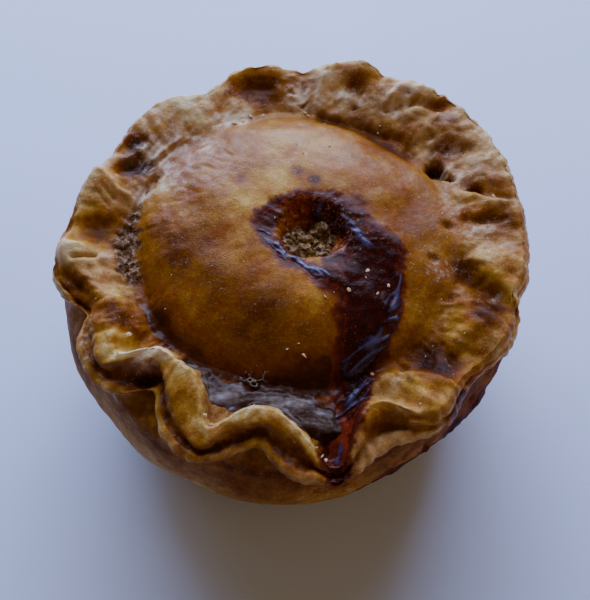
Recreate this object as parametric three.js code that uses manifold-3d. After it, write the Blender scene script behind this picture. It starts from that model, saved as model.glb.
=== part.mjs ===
// A small hand-raised pork pie: a bowed wall on a flat foot, a crimped rim
// whose pastry is folded upright at the front left and pressed flat at the
// back and right, a moat, and a domed lid with a steam hole that holds a lump
// of set filling. Millimetres, +Z up, the origin at the centre of the foot.
// Azimuths are degrees, anticlockwise from +X seen from above.
import * as THREE from 'three';
import { mergeVertices } from 'three/addons/utils/BufferGeometryUtils.js';
import Module from 'manifold-3d';

// ---- driving dimensions -------------------------------------------------

const DEG = Math.PI / 180;

// wall: mean radius and height of the rings of its section
const FOOT_RADIUS = 27.2;
const WALL_SECTION = [
  { r: 28.4, z: 0.35 }, { r: 29.5, z: 1.6 }, { r: 31.7, z: 5.6 }, { r: 34.8, z: 11.8 },
  { r: 37.2, z: 18.2 }, { r: 38.2, z: 24.2 }, { r: 37.8, z: 29.6 }, { r: 36.9, z: 33.4 },
];
// slow swellings of the wall, fading towards the foot
const WALL_SWELLS = [
  { at: 230, wide: 34, out: 0.9 }, { at: 300, wide: 24, out: -1.7 },
  { at: 2, wide: 30, out: 1.6 }, { at: 185, wide: 22, out: 1.5 }, { at: 95, wide: 40, out: 0.5 },
];
const SWELL_HEIGHT = 24;
// waves of the wall: count round the pie, height, slant with height in rad/mm
const WALL_WAVES = [{ count: 7, out: 0.3, slant: 0.31 }, { count: 11, out: 0.22, slant: -0.23 }];

// rim: the lip is its outer lower edge, the crest the ridge above it
const LIP_RADIUS = 39.4;
const FLAT_LIP_HEIGHT = 38.7;
const UPRIGHT_LIP_HEIGHT = 37.9;
const CREST_INSET = 1.5;
const CREST_HEIGHT = 41.8;
const LEAST_OVERHANG = 1;
// the outline of the rim is averaged over these steps to both sides, in degrees
const SOFTENING = [-2, -1, 0, 1, 2];
const RIM_SWELLS = [
  { at: 47, wide: 20, out: 2.7, up: 1.0 }, { at: 71, wide: 8, out: 2.1, up: 0.7 },
  { at: 24, wide: 14, out: 1.2, up: 0.4 }, { at: 100, wide: 9, out: 0.6, up: 0.2 },
  { at: 130, wide: 9, out: 0.4, up: 0.2 }, { at: 187, wide: 9, out: 0.8, up: -0.3 },
  { at: 247, wide: 8, out: 0.9, up: -0.9 }, { at: 278, wide: 9, out: 1.6, up: -1.5 },
  { at: 306, wide: 8, out: 0.3, up: -0.3 }, { at: 333, wide: 9, out: 0.3, up: -0.2 },
  { at: 148, wide: 24, out: -0.9 }, { at: 4, wide: 22, out: 0.8 },
];
// pinches draw the crest and the lip in towards the middle of the pie. Each
// reaches `before` and `after` degrees either side of its middle. A crest pinch
// is flat-bottomed, a lip pinch pointed, the more so the higher its power.
const CREST_PINCHES = [
  { at: 203, before: 17, after: 17, inward: 4.6, power: 2.2, rise: 0.2 },
  { at: 229, before: 12, after: 20, inward: 9.4, power: 4.6, rise: 0.9 },
  { at: 262, before: 15, after: 17, inward: 7.6, power: 2.6, rise: 0.5 },
  { at: 294, before: 12, after: 9, inward: 6.2, power: 2.0, rise: 0.3 },
  { at: 319, before: 12, after: 10, inward: 1.8, power: 1.6, rise: -0.6 },
  { at: 345, before: 8, after: 7, inward: 1.2, power: 1.6, rise: -0.4 },
  { at: 64, before: 6, after: 5, inward: 1.0, power: 2.0, rise: -0.4 },
  { at: 87, before: 9, after: 9, inward: 1.0, power: 2.0, rise: -0.3 },
  { at: 117, before: 12, after: 10, inward: 2.4, power: 1.6, rise: -0.6 },
  { at: 150, before: 14, after: 10, inward: 0.8, power: 2.0, rise: -0.4 },
  { at: 170, before: 9, after: 12, inward: 0.8, power: 2.0, rise: -0.4 },
];
const LIP_PINCHES = [
  { at: 199.5, before: 11, after: 9, inward: 4.6, power: 1.4 },
  { at: 228.5, before: 11, after: 18, inward: 7.2, power: 2.3 },
  { at: 262, before: 14, after: 9, inward: 5.0, power: 1.5 },
  { at: 294, before: 12, after: 12, inward: 1.6, power: 1.3 },
  { at: 321, before: 14, after: 11, inward: 2.2, power: 1.2 },
  { at: 345, before: 8, after: 7, inward: 1.3, power: 1.4 },
  { at: 64, before: 6, after: 5, inward: 1.3, power: 1.5 },
  { at: 87, before: 9, after: 9, inward: 1.2, power: 1.5 },
  { at: 117, before: 12, after: 10, inward: 3.0, power: 1.3 },
  { at: 150, before: 14, after: 10, inward: 1.2, power: 1.4 },
  { at: 170, before: 9, after: 12, inward: 0.6, power: 1.4 },
];
// between these azimuths the rim stands upright as a ribbon
const UPRIGHT = { from: 206, to: 312, ease: 14 };
const UPRIGHT_RUN = 3.4;
const LEAST_RUN = 2.5;
const FLAT_RUN = 10.5;
// section of the rim's outer face: tucked in under the lip, rounded over it,
// scooped out between lip and crest, with a bead along the crest
const TUCK = { inward: 1.5, down: 2.4 };
const LIP_ROUND = { inward: 0.3, down: 1.0, up: 0.9 };
const SCOOP = { deep: 1.2, inward: 0.4, height: 0.5, fullAt: 6, at: 0.42 };
const BEAD = { wide: 2.2, down: 0.9, share: 0.5 };
// the ear: a fold whose bead is broad and whose scoop lies close to the lip
const EAR = { at: 240, wide: 8, bead: 3.2, down: 0.5, share: 0.62, scoopAt: 0.25 };

// lid
const DOME = { x: 0.3, y: 1.5, radius: 26.6, height: 6.6 };
const DOME_ROUNDNESS = 2.5;
const DOME_SHOULDER = 0.72;
const FLAT_RIM_SHOULDER = 1.25;
// where the dome runs softly into the rim instead of ending at a moat
const FADES = [{ from: 318, to: 390 }, { from: 108, to: 172 }];
const FADE_EASE = 20;
const FADE_SHOULDER = 1.15;
const LUMP_FADE = 0.2;
const DOME_WAVES = [{ count: 3, out: 0.35, start: 1.1 }, { count: 5, out: 0.25, start: 0.4 }];
const MOAT_WIDTH = 1.4;
const MOAT_HEIGHT = 38.4;
// how the moat's floor dips and the foot of the dome draws back
const MOAT_SWELLS = [
  { at: 272, wide: 42, up: -1.7 }, { at: 198, wide: 30, up: -0.9 }, { at: 358, wide: 32, up: 2.8 },
  { at: 62, wide: 20, up: -0.6 }, { at: 135, wide: 30, up: 1.0 }, { at: 250, wide: 26, out: -1.9 },
];
// soft lumps and dips of the lid, at x, y, of radius `wide`
const LID_LUMPS = [
  { x: -9.5, y: 11, wide: 8, up: 0.7 }, { x: -17, y: 3, wide: 5, up: -0.5 },
  { x: -3, y: -14, wide: 6.5, up: 0.7 }, { x: 12, y: 14, wide: 6, up: 0.55 },
  { x: 12, y: -8, wide: 7, up: -0.5 }, { x: -1, y: 20, wide: 5, up: 0.4 },
  { x: 20, y: 6, wide: 5, up: -0.5 }, { x: -11, y: -8, wide: 5, up: 0.35 },
];
const HOLE = { x: 2.3, y: 0.3, bowl: 6.6, bowlDepth: 2.0, radius: 3.0, flare: 1.6, depth: 4.9 };
// the hole reaches farther to the right and to the back by these factors
const HOLE_REACH = { right: 1.6, back: 1.5 };
const HOLE_LIP = { r: 4.5, wide: 1.2, up: 0.2 };

// thumb prints and valleys (deep > 0) and the ridges between them (deep < 0)
// on the rim: azimuth and radius of the middle, half length, half width, and
// `turn`, the angle from the outward direction to the long axis
const MARKS = [
  { at: 70, r: 36.6, long: 4.4, wide: 2.0, turn: -55, deep: 1.5 },
  { at: 101.5, r: 34.8, long: 4.8, wide: 3.0, turn: 88, deep: 1.7 },
  { at: 143, r: 34.8, long: 3.8, wide: 1.3, turn: 70, deep: 1.0 },
  { at: 147, r: 31.3, long: 3.6, wide: 1.3, turn: 88, deep: 0.9 },
  { at: 173, r: 34.6, long: 4.0, wide: 3.2, turn: 0, deep: 2.3 },
  { at: 191.5, r: 36.6, long: 5.6, wide: 1.4, turn: -58, deep: 3.6 },
  { at: 191, r: 39.0, long: 4.6, wide: 1.0, turn: -75, deep: -1.6 },
  { at: 226, r: 33.2, long: 3.4, wide: 1.6, turn: -20, deep: 1.8 },
  { at: 321, r: 32.0, long: 6.0, wide: 2.8, turn: 38, deep: 1.9 },
  { at: 345.5, r: 32.4, long: 6.0, wide: 2.0, turn: -35, deep: 1.6 },
  { at: 9.5, r: 34.4, long: 2.2, wide: 1.2, turn: 0, deep: 0.8 },
  { at: 18.5, r: 35.2, long: 4.6, wide: 1.2, turn: -30, deep: 0.8 },
  { at: 33, r: 34.4, long: 2.6, wide: 1.6, turn: -30, deep: 0.8 },
  { at: 49, r: 38.3, long: 4.6, wide: 1.3, turn: -58, deep: 1.0 },
  { at: 57.5, r: 33.4, long: 3.6, wide: 1.2, turn: -24, deep: 0.8 },
  { at: 280, r: 37.0, long: 5.0, wide: 2.0, turn: 0, deep: 2.0 },
  { at: 80.5, r: 35.0, long: 5.0, wide: 1.2, turn: -12, deep: -1.2 },
  { at: 121, r: 34.0, long: 4.0, wide: 3.0, turn: 0, deep: -0.8 },
  { at: 159, r: 34.0, long: 4.6, wide: 2.2, turn: -25, deep: -1.1 },
  { at: 184, r: 34.0, long: 4.6, wide: 1.8, turn: -25, deep: -0.9 },
  { at: 305, r: 32.8, long: 4.6, wide: 3.6, turn: 0, deep: -1.4 },
  { at: 331.5, r: 34.6, long: 4.8, wide: 2.6, turn: -25, deep: -1.2 },
  { at: 355, r: 34.4, long: 5.0, wide: 2.0, turn: -20, deep: -0.8 },
];

// a tear through the flat rim beside the dome, with a slit running out of it
const TEARS = [
  { at: 33, r: 29.9, z: 38.9, long: 2.1, wide: 1.6, deep: 3.0, turn: 80 },
  { at: 28.5, r: 30.6, z: 39.8, long: 2.0, wide: 0.7, deep: 2.2, turn: -60 },
];

// the lump of filling standing in the steam hole
const PLUG = { x: 2.3, y: 0.2, z: 40.75, wide: 1.6, tall: 2.0 };

// mesh fineness
const AROUND = 132;
const CROWDING = { at: 246, amount: 0.36 };
const WALL_STEPS = 1;
const RIM_STEPS = 2;
const FLANGE_RINGS = 7;
const FLANGE_CROWDING = 1.3;
const DRIFT_END = 0.4;
const DOME_RINGS = [1.03, 0.985, 0.95, 0.9, 0.82, 0.72, 0.6, 0.48, 0.37];
const HOLE_RINGS = [1.45, 1.12, 0.94, 0.72];

// ---- helpers ------------------------------------------------------------

const mix = (a, b, t) => a + (b - a) * t;
const turnTo = (a, b) => ((a - b + 540) % 360 + 360) % 360 - 180;
const hump = (d, w) => Math.exp(-((d / w) ** 2));

function ease(t) {
  const c = Math.min(1, Math.max(0, t));
  return c * c * (3 - 2 * c);
}

// 1 between two azimuths, easing to 0 over `soft` degrees inside them
const between = (azimuth, { from, to }, soft) =>
  ease(turnTo(azimuth, from) / soft) * ease(turnTo(to, azimuth) / soft);

const swell = (list, azimuth, key) =>
  list.reduce((sum, s) => sum + (s[key] ?? 0) * hump(turnTo(azimuth, s.at), s.wide), 0);

// how far into a pinch an azimuth lies: 0 at its ends and 1 in its middle
function pinchDepth(pinch, azimuth) {
  const d = turnTo(azimuth, pinch.at);
  return Math.max(0, 1 - Math.abs(d) / (d < 0 ? pinch.before : pinch.after));
}

// ---- the form of the rim ------------------------------------------------

// lip and crest of the rim at an azimuth
function outlineAt(azimuth) {
  let lipR = LIP_RADIUS + swell(RIM_SWELLS, azimuth, 'out');
  let crestR = lipR - CREST_INSET;
  let crestZ = CREST_HEIGHT + swell(RIM_SWELLS, azimuth, 'up');
  for (const pinch of CREST_PINCHES) {
    const inside = pinchDepth(pinch, azimuth);
    crestR -= pinch.inward * (1 - (1 - inside) ** pinch.power);
    crestZ += pinch.rise * ease(inside);
  }
  for (const pinch of LIP_PINCHES) {
    lipR -= pinch.inward * pinchDepth(pinch, azimuth) ** pinch.power;
  }
  crestR = Math.min(crestR, lipR - LEAST_OVERHANG);
  return { lipR, crestR, crestZ };
}

// lip, crest and moat of the rim at an azimuth
function rimAt(azimuth) {
  const near = SOFTENING.map((step) => outlineAt(azimuth + step));
  const [lipR, crestR, crestZ] = ['lipR', 'crestR', 'crestZ']
    .map((key) => near.reduce((sum, point) => sum + point[key], 0) / near.length);
  const upright = between(azimuth, UPRIGHT, UPRIGHT.ease);
  const foot = domeFoot(azimuth);
  const moatR = Math.min(foot + MOAT_WIDTH, crestR - LEAST_RUN);
  const run = Math.min(mix(FLAT_RUN, UPRIGHT_RUN, upright), crestR - moatR);
  const moatZ = MOAT_HEIGHT + swell(MOAT_SWELLS, azimuth, 'up');
  const lipZ = mix(FLAT_LIP_HEIGHT, UPRIGHT_LIP_HEIGHT, upright);
  return { lipR, lipZ, crestR, crestZ, moatR, moatZ, run, upright };
}

// distance from the origin to the foot of the dome
function domeFoot(azimuth) {
  const a = azimuth * DEG;
  const along = DOME.x * Math.cos(a) + DOME.y * Math.sin(a);
  const across = DOME.x * Math.sin(a) - DOME.y * Math.cos(a);
  const wobble = DOME_WAVES.reduce((sum, w) => sum + w.out * Math.sin(w.count * a + w.start), 0);
  return along + Math.sqrt((DOME.radius + wobble) ** 2 - across ** 2)
    + swell(MOAT_SWELLS, azimuth, 'out');
}

// rise of the rim's marks at a point
function markRise(x, y) {
  let rise = 0;
  for (const m of MARKS) {
    const a = m.at * DEG;
    const t = a + m.turn * DEG;
    const dx = x - m.r * Math.cos(a);
    const dy = y - m.r * Math.sin(a);
    const along = dx * Math.cos(t) + dy * Math.sin(t);
    const across = -dx * Math.sin(t) + dy * Math.cos(t);
    rise -= m.deep * Math.exp(-((along / m.long) ** 2) - (across / m.wide) ** 2);
  }
  return rise;
}

// distance from the middle of the steam hole, shortened where it reaches farther
function fromHole(x, y) {
  const dx = (x - HOLE.x) / (x > HOLE.x ? HOLE_REACH.right : 1);
  const dy = (y - HOLE.y) / (y > HOLE.y ? HOLE_REACH.back : 1);
  return Math.hypot(dx, dy);
}

// height of the lid's upper side inside the crest
function lidHeight(x, y) {
  const azimuth = Math.atan2(y, x) / DEG;
  const r = Math.hypot(x, y);
  const rim = rimAt(azimuth);
  const climb = Math.max(0, Math.min(1, (r - rim.crestR + rim.run) / rim.run));
  const flat = Math.sin(climb * Math.PI / 2) ** FLAT_RIM_SHOULDER;
  const rise = mix(flat, ease(climb), rim.upright);
  let z = mix(rim.moatZ, rim.crestZ, rise);
  const inward = r / domeFoot(azimuth);
  if (inward < 1) {
    const fade = FADES.reduce((sum, f) => sum + between(azimuth, f, FADE_EASE), 0);
    z += (DOME.height + MOAT_HEIGHT - rim.moatZ)
      * (1 - inward ** DOME_ROUNDNESS) ** mix(DOME_SHOULDER, FADE_SHOULDER, fade);
    for (const l of LID_LUMPS) {
      z += l.up * hump(Math.hypot(x - l.x, y - l.y), l.wide) * ease((1 - inward) / LUMP_FADE);
    }
  }
  z -= HOLE.bowlDepth * hump(Math.hypot(x - HOLE.x, y - HOLE.y), HOLE.bowl);
  const h = fromHole(x, y);
  z += HOLE_LIP.up * hump(h - HOLE_LIP.r, HOLE_LIP.wide);
  z -= HOLE.depth * ease(HOLE.flare - h / HOLE.radius);
  return z + markRise(x, y);
}

// ---- the crust's surface, ring by ring ----------------------------------

// section of the wall and the rim's outer face at an azimuth, from above the
// foot to the crest
function outerSection(azimuth) {
  const rim = rimAt(azimuth);
  const out = swell(WALL_SWELLS, azimuth, 'out');
  const a = azimuth * DEG;
  const section = WALL_SECTION.map(({ r, z }) => {
    const wavy = WALL_WAVES.reduce((sum, w) => sum + w.out * Math.sin(w.count * a + w.slant * z), 0);
    return { r: r + (out + wavy) * Math.min(1, z / SWELL_HEIGHT), z };
  });
  const { lipR, lipZ, crestR, crestZ } = rim;
  const shoulder = section[section.length - 1];
  const gap = lipR - crestR;
  const ear = hump(turnTo(azimuth, EAR.at), EAR.wide);
  const bead = Math.min(BEAD.wide + EAR.bead * ear, gap * mix(BEAD.share, EAR.share, ear));
  const scoopAt = mix(SCOOP.at, EAR.scoopAt, ear);
  section.push({
    r: Math.min(lipR - TUCK.inward, shoulder.r - LIP_ROUND.inward),
    z: Math.max(shoulder.z + 1, lipZ - TUCK.down),
  });
  section.push({ r: lipR - LIP_ROUND.inward, z: lipZ - LIP_ROUND.down });
  section.push({ r: lipR, z: lipZ });
  section.push({ r: lipR - Math.min(BEAD.wide, gap * scoopAt) / 2, z: lipZ + LIP_ROUND.up });
  section.push({
    r: mix(lipR, crestR, scoopAt) - SCOOP.inward * rim.upright * (1 - ear),
    z: mix(lipZ, crestZ, SCOOP.height) - SCOOP.deep * Math.min(1, gap / SCOOP.fullAt),
  });
  section.push({ r: crestR + bead, z: crestZ - BEAD.down - EAR.down * ear });
  for (const p of section.slice(-3)) {
    p.z += markRise(p.r * Math.cos(a), p.r * Math.sin(a));
  }
  section.push({ r: crestR, z: lidHeight(crestR * Math.cos(a), crestR * Math.sin(a)) });
  return section;
}

function catmullRom(p0, p1, p2, p3, t) {
  return 0.5 * (2 * p1 + (p2 - p0) * t + (2 * p0 - 5 * p1 + 4 * p2 - p3) * t * t
    + (3 * p1 - p0 - 3 * p2 + p3) * t * t * t);
}

// a smooth curve through the section's points, with steps between them
function smoothSection(section) {
  const points = [];
  const last = section.length - 1;
  for (let i = 0; i < last; i += 1) {
    const four = [Math.max(0, i - 1), i, i + 1, Math.min(last, i + 2)].map((k) => section[k]);
    const steps = i < WALL_SECTION.length ? WALL_STEPS : RIM_STEPS;
    for (let s = 0; s < steps; s += 1) {
      const t = s / steps;
      points.push({
        r: catmullRom(...four.map((p) => p.r), t),
        z: catmullRom(...four.map((p) => p.z), t),
      });
    }
  }
  points.push(section[last]);
  return points;
}

// the points of the crust along one azimuth, from the foot to the steam hole
function crustColumn(azimuth) {
  const a = azimuth * DEG;
  const rim = rimAt(azimuth);
  const foot = { r: FOOT_RADIUS, z: 0 };
  const column = smoothSection([foot, ...outerSection(azimuth)])
    .map(({ r, z }) => [r * Math.cos(a), r * Math.sin(a), z]);
  const onLid = (x, y) => column.push([x, y, lidHeight(x, y)]);
  for (let i = 1; i <= FLANGE_RINGS; i += 1) {
    const fraction = 1 - (1 - i / FLANGE_RINGS) ** FLANGE_CROWDING;
    const r = mix(rim.crestR, rim.moatR, fraction);
    onLid(r * Math.cos(a), r * Math.sin(a));
  }
  const footR = domeFoot(azimuth);
  for (const f of DOME_RINGS) {
    const drift = ease((1 - f) / (1 - DRIFT_END));
    onLid(drift * HOLE.x + f * footR * Math.cos(a), drift * HOLE.y + f * footR * Math.sin(a));
  }
  for (const f of HOLE_RINGS) {
    const r = f * HOLE.radius;
    onLid(
      HOLE.x + r * Math.cos(a) * (Math.cos(a) > 0 ? HOLE_REACH.right : 1),
      HOLE.y + r * Math.sin(a) * (Math.sin(a) > 0 ? HOLE_REACH.back : 1),
    );
  }
  return column;
}

// closed mesh from columns of points, capped at the first and last rings by
// fans round the two end points
function loft(columns, firstEnd, lastEnd) {
  const rings = columns[0].length;
  const count = columns.length;
  const positions = columns.flat(2);
  const first = count * rings;
  positions.push(...firstEnd, ...lastEnd);
  const index = [];
  for (let c = 0; c < count; c += 1) {
    const here = c * rings;
    const next = ((c + 1) % count) * rings;
    index.push(first, next, here);
    for (let i = 0; i + 1 < rings; i += 1) {
      index.push(here + i, next + i, next + i + 1, here + i, next + i + 1, here + i + 1);
    }
    index.push(first + 1, here + rings - 1, next + rings - 1);
  }
  const geometry = new THREE.BufferGeometry();
  geometry.setAttribute('position', new THREE.Float32BufferAttribute(positions, 3));
  geometry.setIndex(index);
  return geometry;
}

function crustShell() {
  const columns = [];
  for (let i = 0; i < AROUND; i += 1) {
    const turn = (i / AROUND) * 2 * Math.PI;
    const crowded = turn - CROWDING.amount * Math.sin(turn - CROWDING.at * DEG);
    columns.push(crustColumn(crowded / DEG));
  }
  return loft(columns, [0, 0, 0], [HOLE.x, HOLE.y, lidHeight(HOLE.x, HOLE.y)]);
}

// a pebble: a sphere of the given half sizes with a few soft dents
function pebble(halfX, halfY, halfZ, around, up) {
  const sphere = new THREE.SphereGeometry(1, around, up);
  sphere.rotateX(Math.PI / 2);
  sphere.deleteAttribute('normal');
  sphere.deleteAttribute('uv');
  const geometry = mergeVertices(sphere, 1e-4);
  const p = geometry.getAttribute('position');
  for (let i = 0; i < p.count; i += 1) {
    const [x, y, z] = [p.getX(i), p.getY(i), p.getZ(i)];
    const k = 1 + 0.1 * Math.sin(4.1 * x + 1) * Math.cos(3.3 * y) + 0.08 * Math.sin(5.2 * z + 2.3 * x);
    p.setXYZ(i, x * halfX * k, y * halfY * k, z * halfZ * k);
  }
  return geometry;
}

// ---- booleans -----------------------------------------------------------

const wasm = await Module();
wasm.setup();

function toSolid(geometry) {
  return new wasm.Manifold(new wasm.Mesh({
    numProp: 3,
    vertProperties: new Float32Array(geometry.getAttribute('position').array),
    triVerts: new Uint32Array(geometry.getIndex().array),
  }));
}

function toGeometry(solid) {
  const mesh = solid.getMesh();
  const geometry = new THREE.BufferGeometry();
  geometry.setAttribute('position', new THREE.BufferAttribute(mesh.vertProperties, 3));
  geometry.setIndex(new THREE.BufferAttribute(mesh.triVerts, 1));
  return geometry;
}

function tornCrust() {
  let crust = toSolid(crustShell());
  for (const tear of TEARS) {
    const a = tear.at * DEG;
    const gouge = pebble(tear.long, tear.wide, tear.deep, 14, 8);
    gouge.rotateZ(a + tear.turn * DEG);
    gouge.translate(tear.r * Math.cos(a), tear.r * Math.sin(a), tear.z);
    crust = crust.subtract(toSolid(gouge));
  }
  return toGeometry(crust);
}

// ---- the pie ------------------------------------------------------------

const crust = new THREE.Mesh(tornCrust(), new THREE.MeshStandardMaterial({
  color: 0xb07a3c, roughness: 0.45, metalness: 0,
}));
crust.name = 'crust';

const plug = new THREE.Mesh(
  pebble(PLUG.wide, PLUG.wide * 0.85, PLUG.tall, 18, 12),
  new THREE.MeshStandardMaterial({ color: 0x8a7352, roughness: 0.4, metalness: 0 }),
);
plug.name = 'filling_plug';
plug.position.set(PLUG.x, PLUG.y, PLUG.z);

const pie = new THREE.Group();
pie.add(crust, plug);

export default pie;
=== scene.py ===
"""Looks of a small hand-raised pork pie: a fine crust in the place of the plain
one, the lump of filling in the steam hole, dark juice, jelly and crumbs.
Sizes are millimetres, azimuths degrees anticlockwise from +X seen from above;
a mesh turns to metres when its object is made."""

import itertools
import math

import bpy
import numpy as np
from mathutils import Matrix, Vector


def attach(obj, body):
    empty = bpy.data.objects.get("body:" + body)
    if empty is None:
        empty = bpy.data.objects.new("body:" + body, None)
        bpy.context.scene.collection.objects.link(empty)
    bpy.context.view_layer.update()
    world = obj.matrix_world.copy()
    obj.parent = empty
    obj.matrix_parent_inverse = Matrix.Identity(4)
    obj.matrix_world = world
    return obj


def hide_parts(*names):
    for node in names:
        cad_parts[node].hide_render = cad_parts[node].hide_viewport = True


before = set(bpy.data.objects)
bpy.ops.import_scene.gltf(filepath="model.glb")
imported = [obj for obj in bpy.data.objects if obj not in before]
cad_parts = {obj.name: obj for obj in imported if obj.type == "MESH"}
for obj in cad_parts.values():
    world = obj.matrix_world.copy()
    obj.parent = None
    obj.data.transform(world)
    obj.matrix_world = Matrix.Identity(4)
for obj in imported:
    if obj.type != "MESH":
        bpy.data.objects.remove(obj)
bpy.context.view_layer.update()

MM = 0.001
DEG = math.pi / 180

# ---- sizes of the pie, as in its CAD model --------------------------------

FOOT_RADIUS = 27.2
# radius and height of the wall's rings
WALL_SECTION = (
    (28.4, 0.35), (29.5, 1.6), (31.7, 5.6), (34.8, 11.8), (37.2, 18.2), (38.2, 24.2), (37.8, 29.6),
    (36.9, 33.4),
)
# azimuth, width, outward
WALL_SWELLS = ((230, 34, 0.9), (300, 24, -1.7), (2, 30, 1.6), (185, 22, 1.5), (95, 40, 0.5))
# where a table of swells holds how far it goes outward, and up
OUTWARD, UP = 2, 3
SWELL_HEIGHT = 24
# count round the pie, outward, slant
WALL_WAVES = ((7, 0.3, 0.31), (11, 0.22, -0.23))

LIP_RADIUS = 39.4
FLAT_LIP_HEIGHT = 38.7
UPRIGHT_LIP_HEIGHT = 37.9
CREST_INSET = 1.5
CREST_HEIGHT = 41.8
LEAST_OVERHANG = 1
# degrees to both sides over which the outline of the rim is averaged
SOFTENING = (-2, -1, 0, 1, 2)
# azimuth, width, outward, up
RIM_SWELLS = (
    (47, 20, 2.7, 1), (71, 8, 2.1, 0.7), (24, 14, 1.2, 0.4), (100, 9, 0.6, 0.2), (130, 9, 0.4, 0.2),
    (187, 9, 0.8, -0.3), (247, 8, 0.9, -0.9), (278, 9, 1.6, -1.5), (306, 8, 0.3, -0.3),
    (333, 9, 0.3, -0.2), (148, 24, -0.9, 0), (4, 22, 0.8, 0),
)
# azimuth, degrees before, degrees after, inward, power, rise
CREST_PINCHES = (
    (203, 17, 17, 4.6, 2.2, 0.2), (229, 12, 20, 9.4, 4.6, 0.9), (262, 15, 17, 7.6, 2.6, 0.5),
    (294, 12, 9, 6.2, 2, 0.3), (319, 12, 10, 1.8, 1.6, -0.6), (345, 8, 7, 1.2, 1.6, -0.4),
    (64, 6, 5, 1, 2, -0.4), (87, 9, 9, 1, 2, -0.3), (117, 12, 10, 2.4, 1.6, -0.6),
    (150, 14, 10, 0.8, 2, -0.4), (170, 9, 12, 0.8, 2, -0.4),
)
# azimuth, degrees before, degrees after, inward, power
LIP_PINCHES = (
    (199.5, 11, 9, 4.6, 1.4), (228.5, 11, 18, 7.2, 2.3), (262, 14, 9, 5, 1.5), (294, 12, 12, 1.6, 1.3),
    (321, 14, 11, 2.2, 1.2), (345, 8, 7, 1.3, 1.4), (64, 6, 5, 1.3, 1.5), (87, 9, 9, 1.2, 1.5),
    (117, 12, 10, 3, 1.3), (150, 14, 10, 1.2, 1.4), (170, 9, 12, 0.6, 1.4),
)
UPRIGHT_FROM, UPRIGHT_TO, UPRIGHT_EASE = 206, 312, 14
UPRIGHT_RUN, LEAST_RUN, FLAT_RUN = 3.4, 2.5, 10.5
TUCK_IN, TUCK_DOWN, LEAST_TUCK = 1.5, 2.4, 1
LIP_IN, LIP_DOWN, LIP_UP = 0.3, 1.0, 0.9
SCOOP_DEEP, SCOOP_IN, SCOOP_HEIGHT, SCOOP_FULL, SCOOP_AT = 1.2, 0.4, 0.5, 6, 0.42
BEAD_WIDE, BEAD_DOWN, BEAD_SHARE = 2.2, 0.9, 0.5
# the ear: a fold whose bead is broad and whose scoop lies close to the lip
EAR_AT, EAR_WIDE, EAR_BEAD, EAR_DOWN, EAR_SCOOP_AT, EAR_SHARE = 240, 8, 3.2, 0.5, 0.25, 0.62

DOME_X, DOME_Y, DOME_RADIUS, DOME_HEIGHT = 0.3, 1.5, 26.6, 6.6
DOME_ROUNDNESS, DOME_SHOULDER, FLAT_RIM_SHOULDER, LUMP_FADE = 2.5, 0.72, 1.25, 0.2
# where the dome runs into the rim without a moat
FADES = ((318, 390), (108, 172))
FADE_EASE, FADE_SHOULDER = 20, 1.15
DOME_WAVES = ((3, 0.35, 1.1), (5, 0.25, 0.4))
MOAT_WIDTH, MOAT_HEIGHT = 1.4, 38.4
# azimuth, width, outward, up
MOAT_SWELLS = (
    (272, 42, 0, -1.7), (198, 30, 0, -0.9), (358, 32, 0, 2.8), (62, 20, 0, -0.6), (135, 30, 0, 1),
    (250, 26, -1.9, 0),
)
# x, y, radius, up
LID_LUMPS = (
    (-9.5, 11, 8, 0.7), (-17, 3, 5, -0.5), (-3, -14, 6.5, 0.7), (12, 14, 6, 0.55), (12, -8, 7, -0.5),
    (-1, 20, 5, 0.4), (20, 6, 5, -0.5), (-11, -8, 5, 0.35),
)
HOLE_X, HOLE_Y, HOLE_RADIUS, HOLE_FLARE, HOLE_DEPTH = 2.3, 0.3, 3.0, 1.6, 4.9
BOWL_RADIUS, BOWL_DEPTH = 6.6, 2.0
HOLE_LIP_R, HOLE_LIP_WIDE, HOLE_LIP_UP = 4.5, 1.2, 0.2
# how much farther the hole reaches to the right and to the back
HOLE_RIGHT, HOLE_BACK = 1.6, 1.5
# as far out as this the hole's edge is ragged
HOLE_RAGGED = 6
# azimuth, radius, half length, half width, turn, depth
MARKS = (
    (70, 36.6, 4.4, 2, -55, 1.5), (101.5, 34.8, 4.8, 3, 88, 1.7), (143, 34.8, 3.8, 1.3, 70, 1),
    (147, 31.3, 3.6, 1.3, 88, 0.9), (173, 34.6, 4, 3.2, 0, 2.3), (191.5, 36.6, 5.6, 1.4, -58, 3.6),
    (191, 39, 4.6, 1, -75, -1.6), (226, 33.2, 3.4, 1.6, -20, 1.8), (321, 32, 6, 2.8, 38, 1.9),
    (345.5, 32.4, 6, 2, -35, 1.6), (9.5, 34.4, 2.2, 1.2, 0, 0.8), (18.5, 35.2, 4.6, 1.2, -30, 0.8),
    (33, 34.4, 2.6, 1.6, -30, 0.8), (49, 38.3, 4.6, 1.3, -58, 1), (57.5, 33.4, 3.6, 1.2, -24, 0.8),
    (280, 37, 5, 2, 0, 2), (80.5, 35, 5, 1.2, -12, -1.2), (121, 34, 4, 3, 0, -0.8),
    (159, 34, 4.6, 2.2, -25, -1.1), (184, 34, 4.6, 1.8, -25, -0.9), (305, 32.8, 4.6, 3.6, 0, -1.4),
    (331.5, 34.6, 4.8, 2.6, -25, -1.2), (355, 34.4, 5, 2, -20, -0.8),
)
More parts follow.
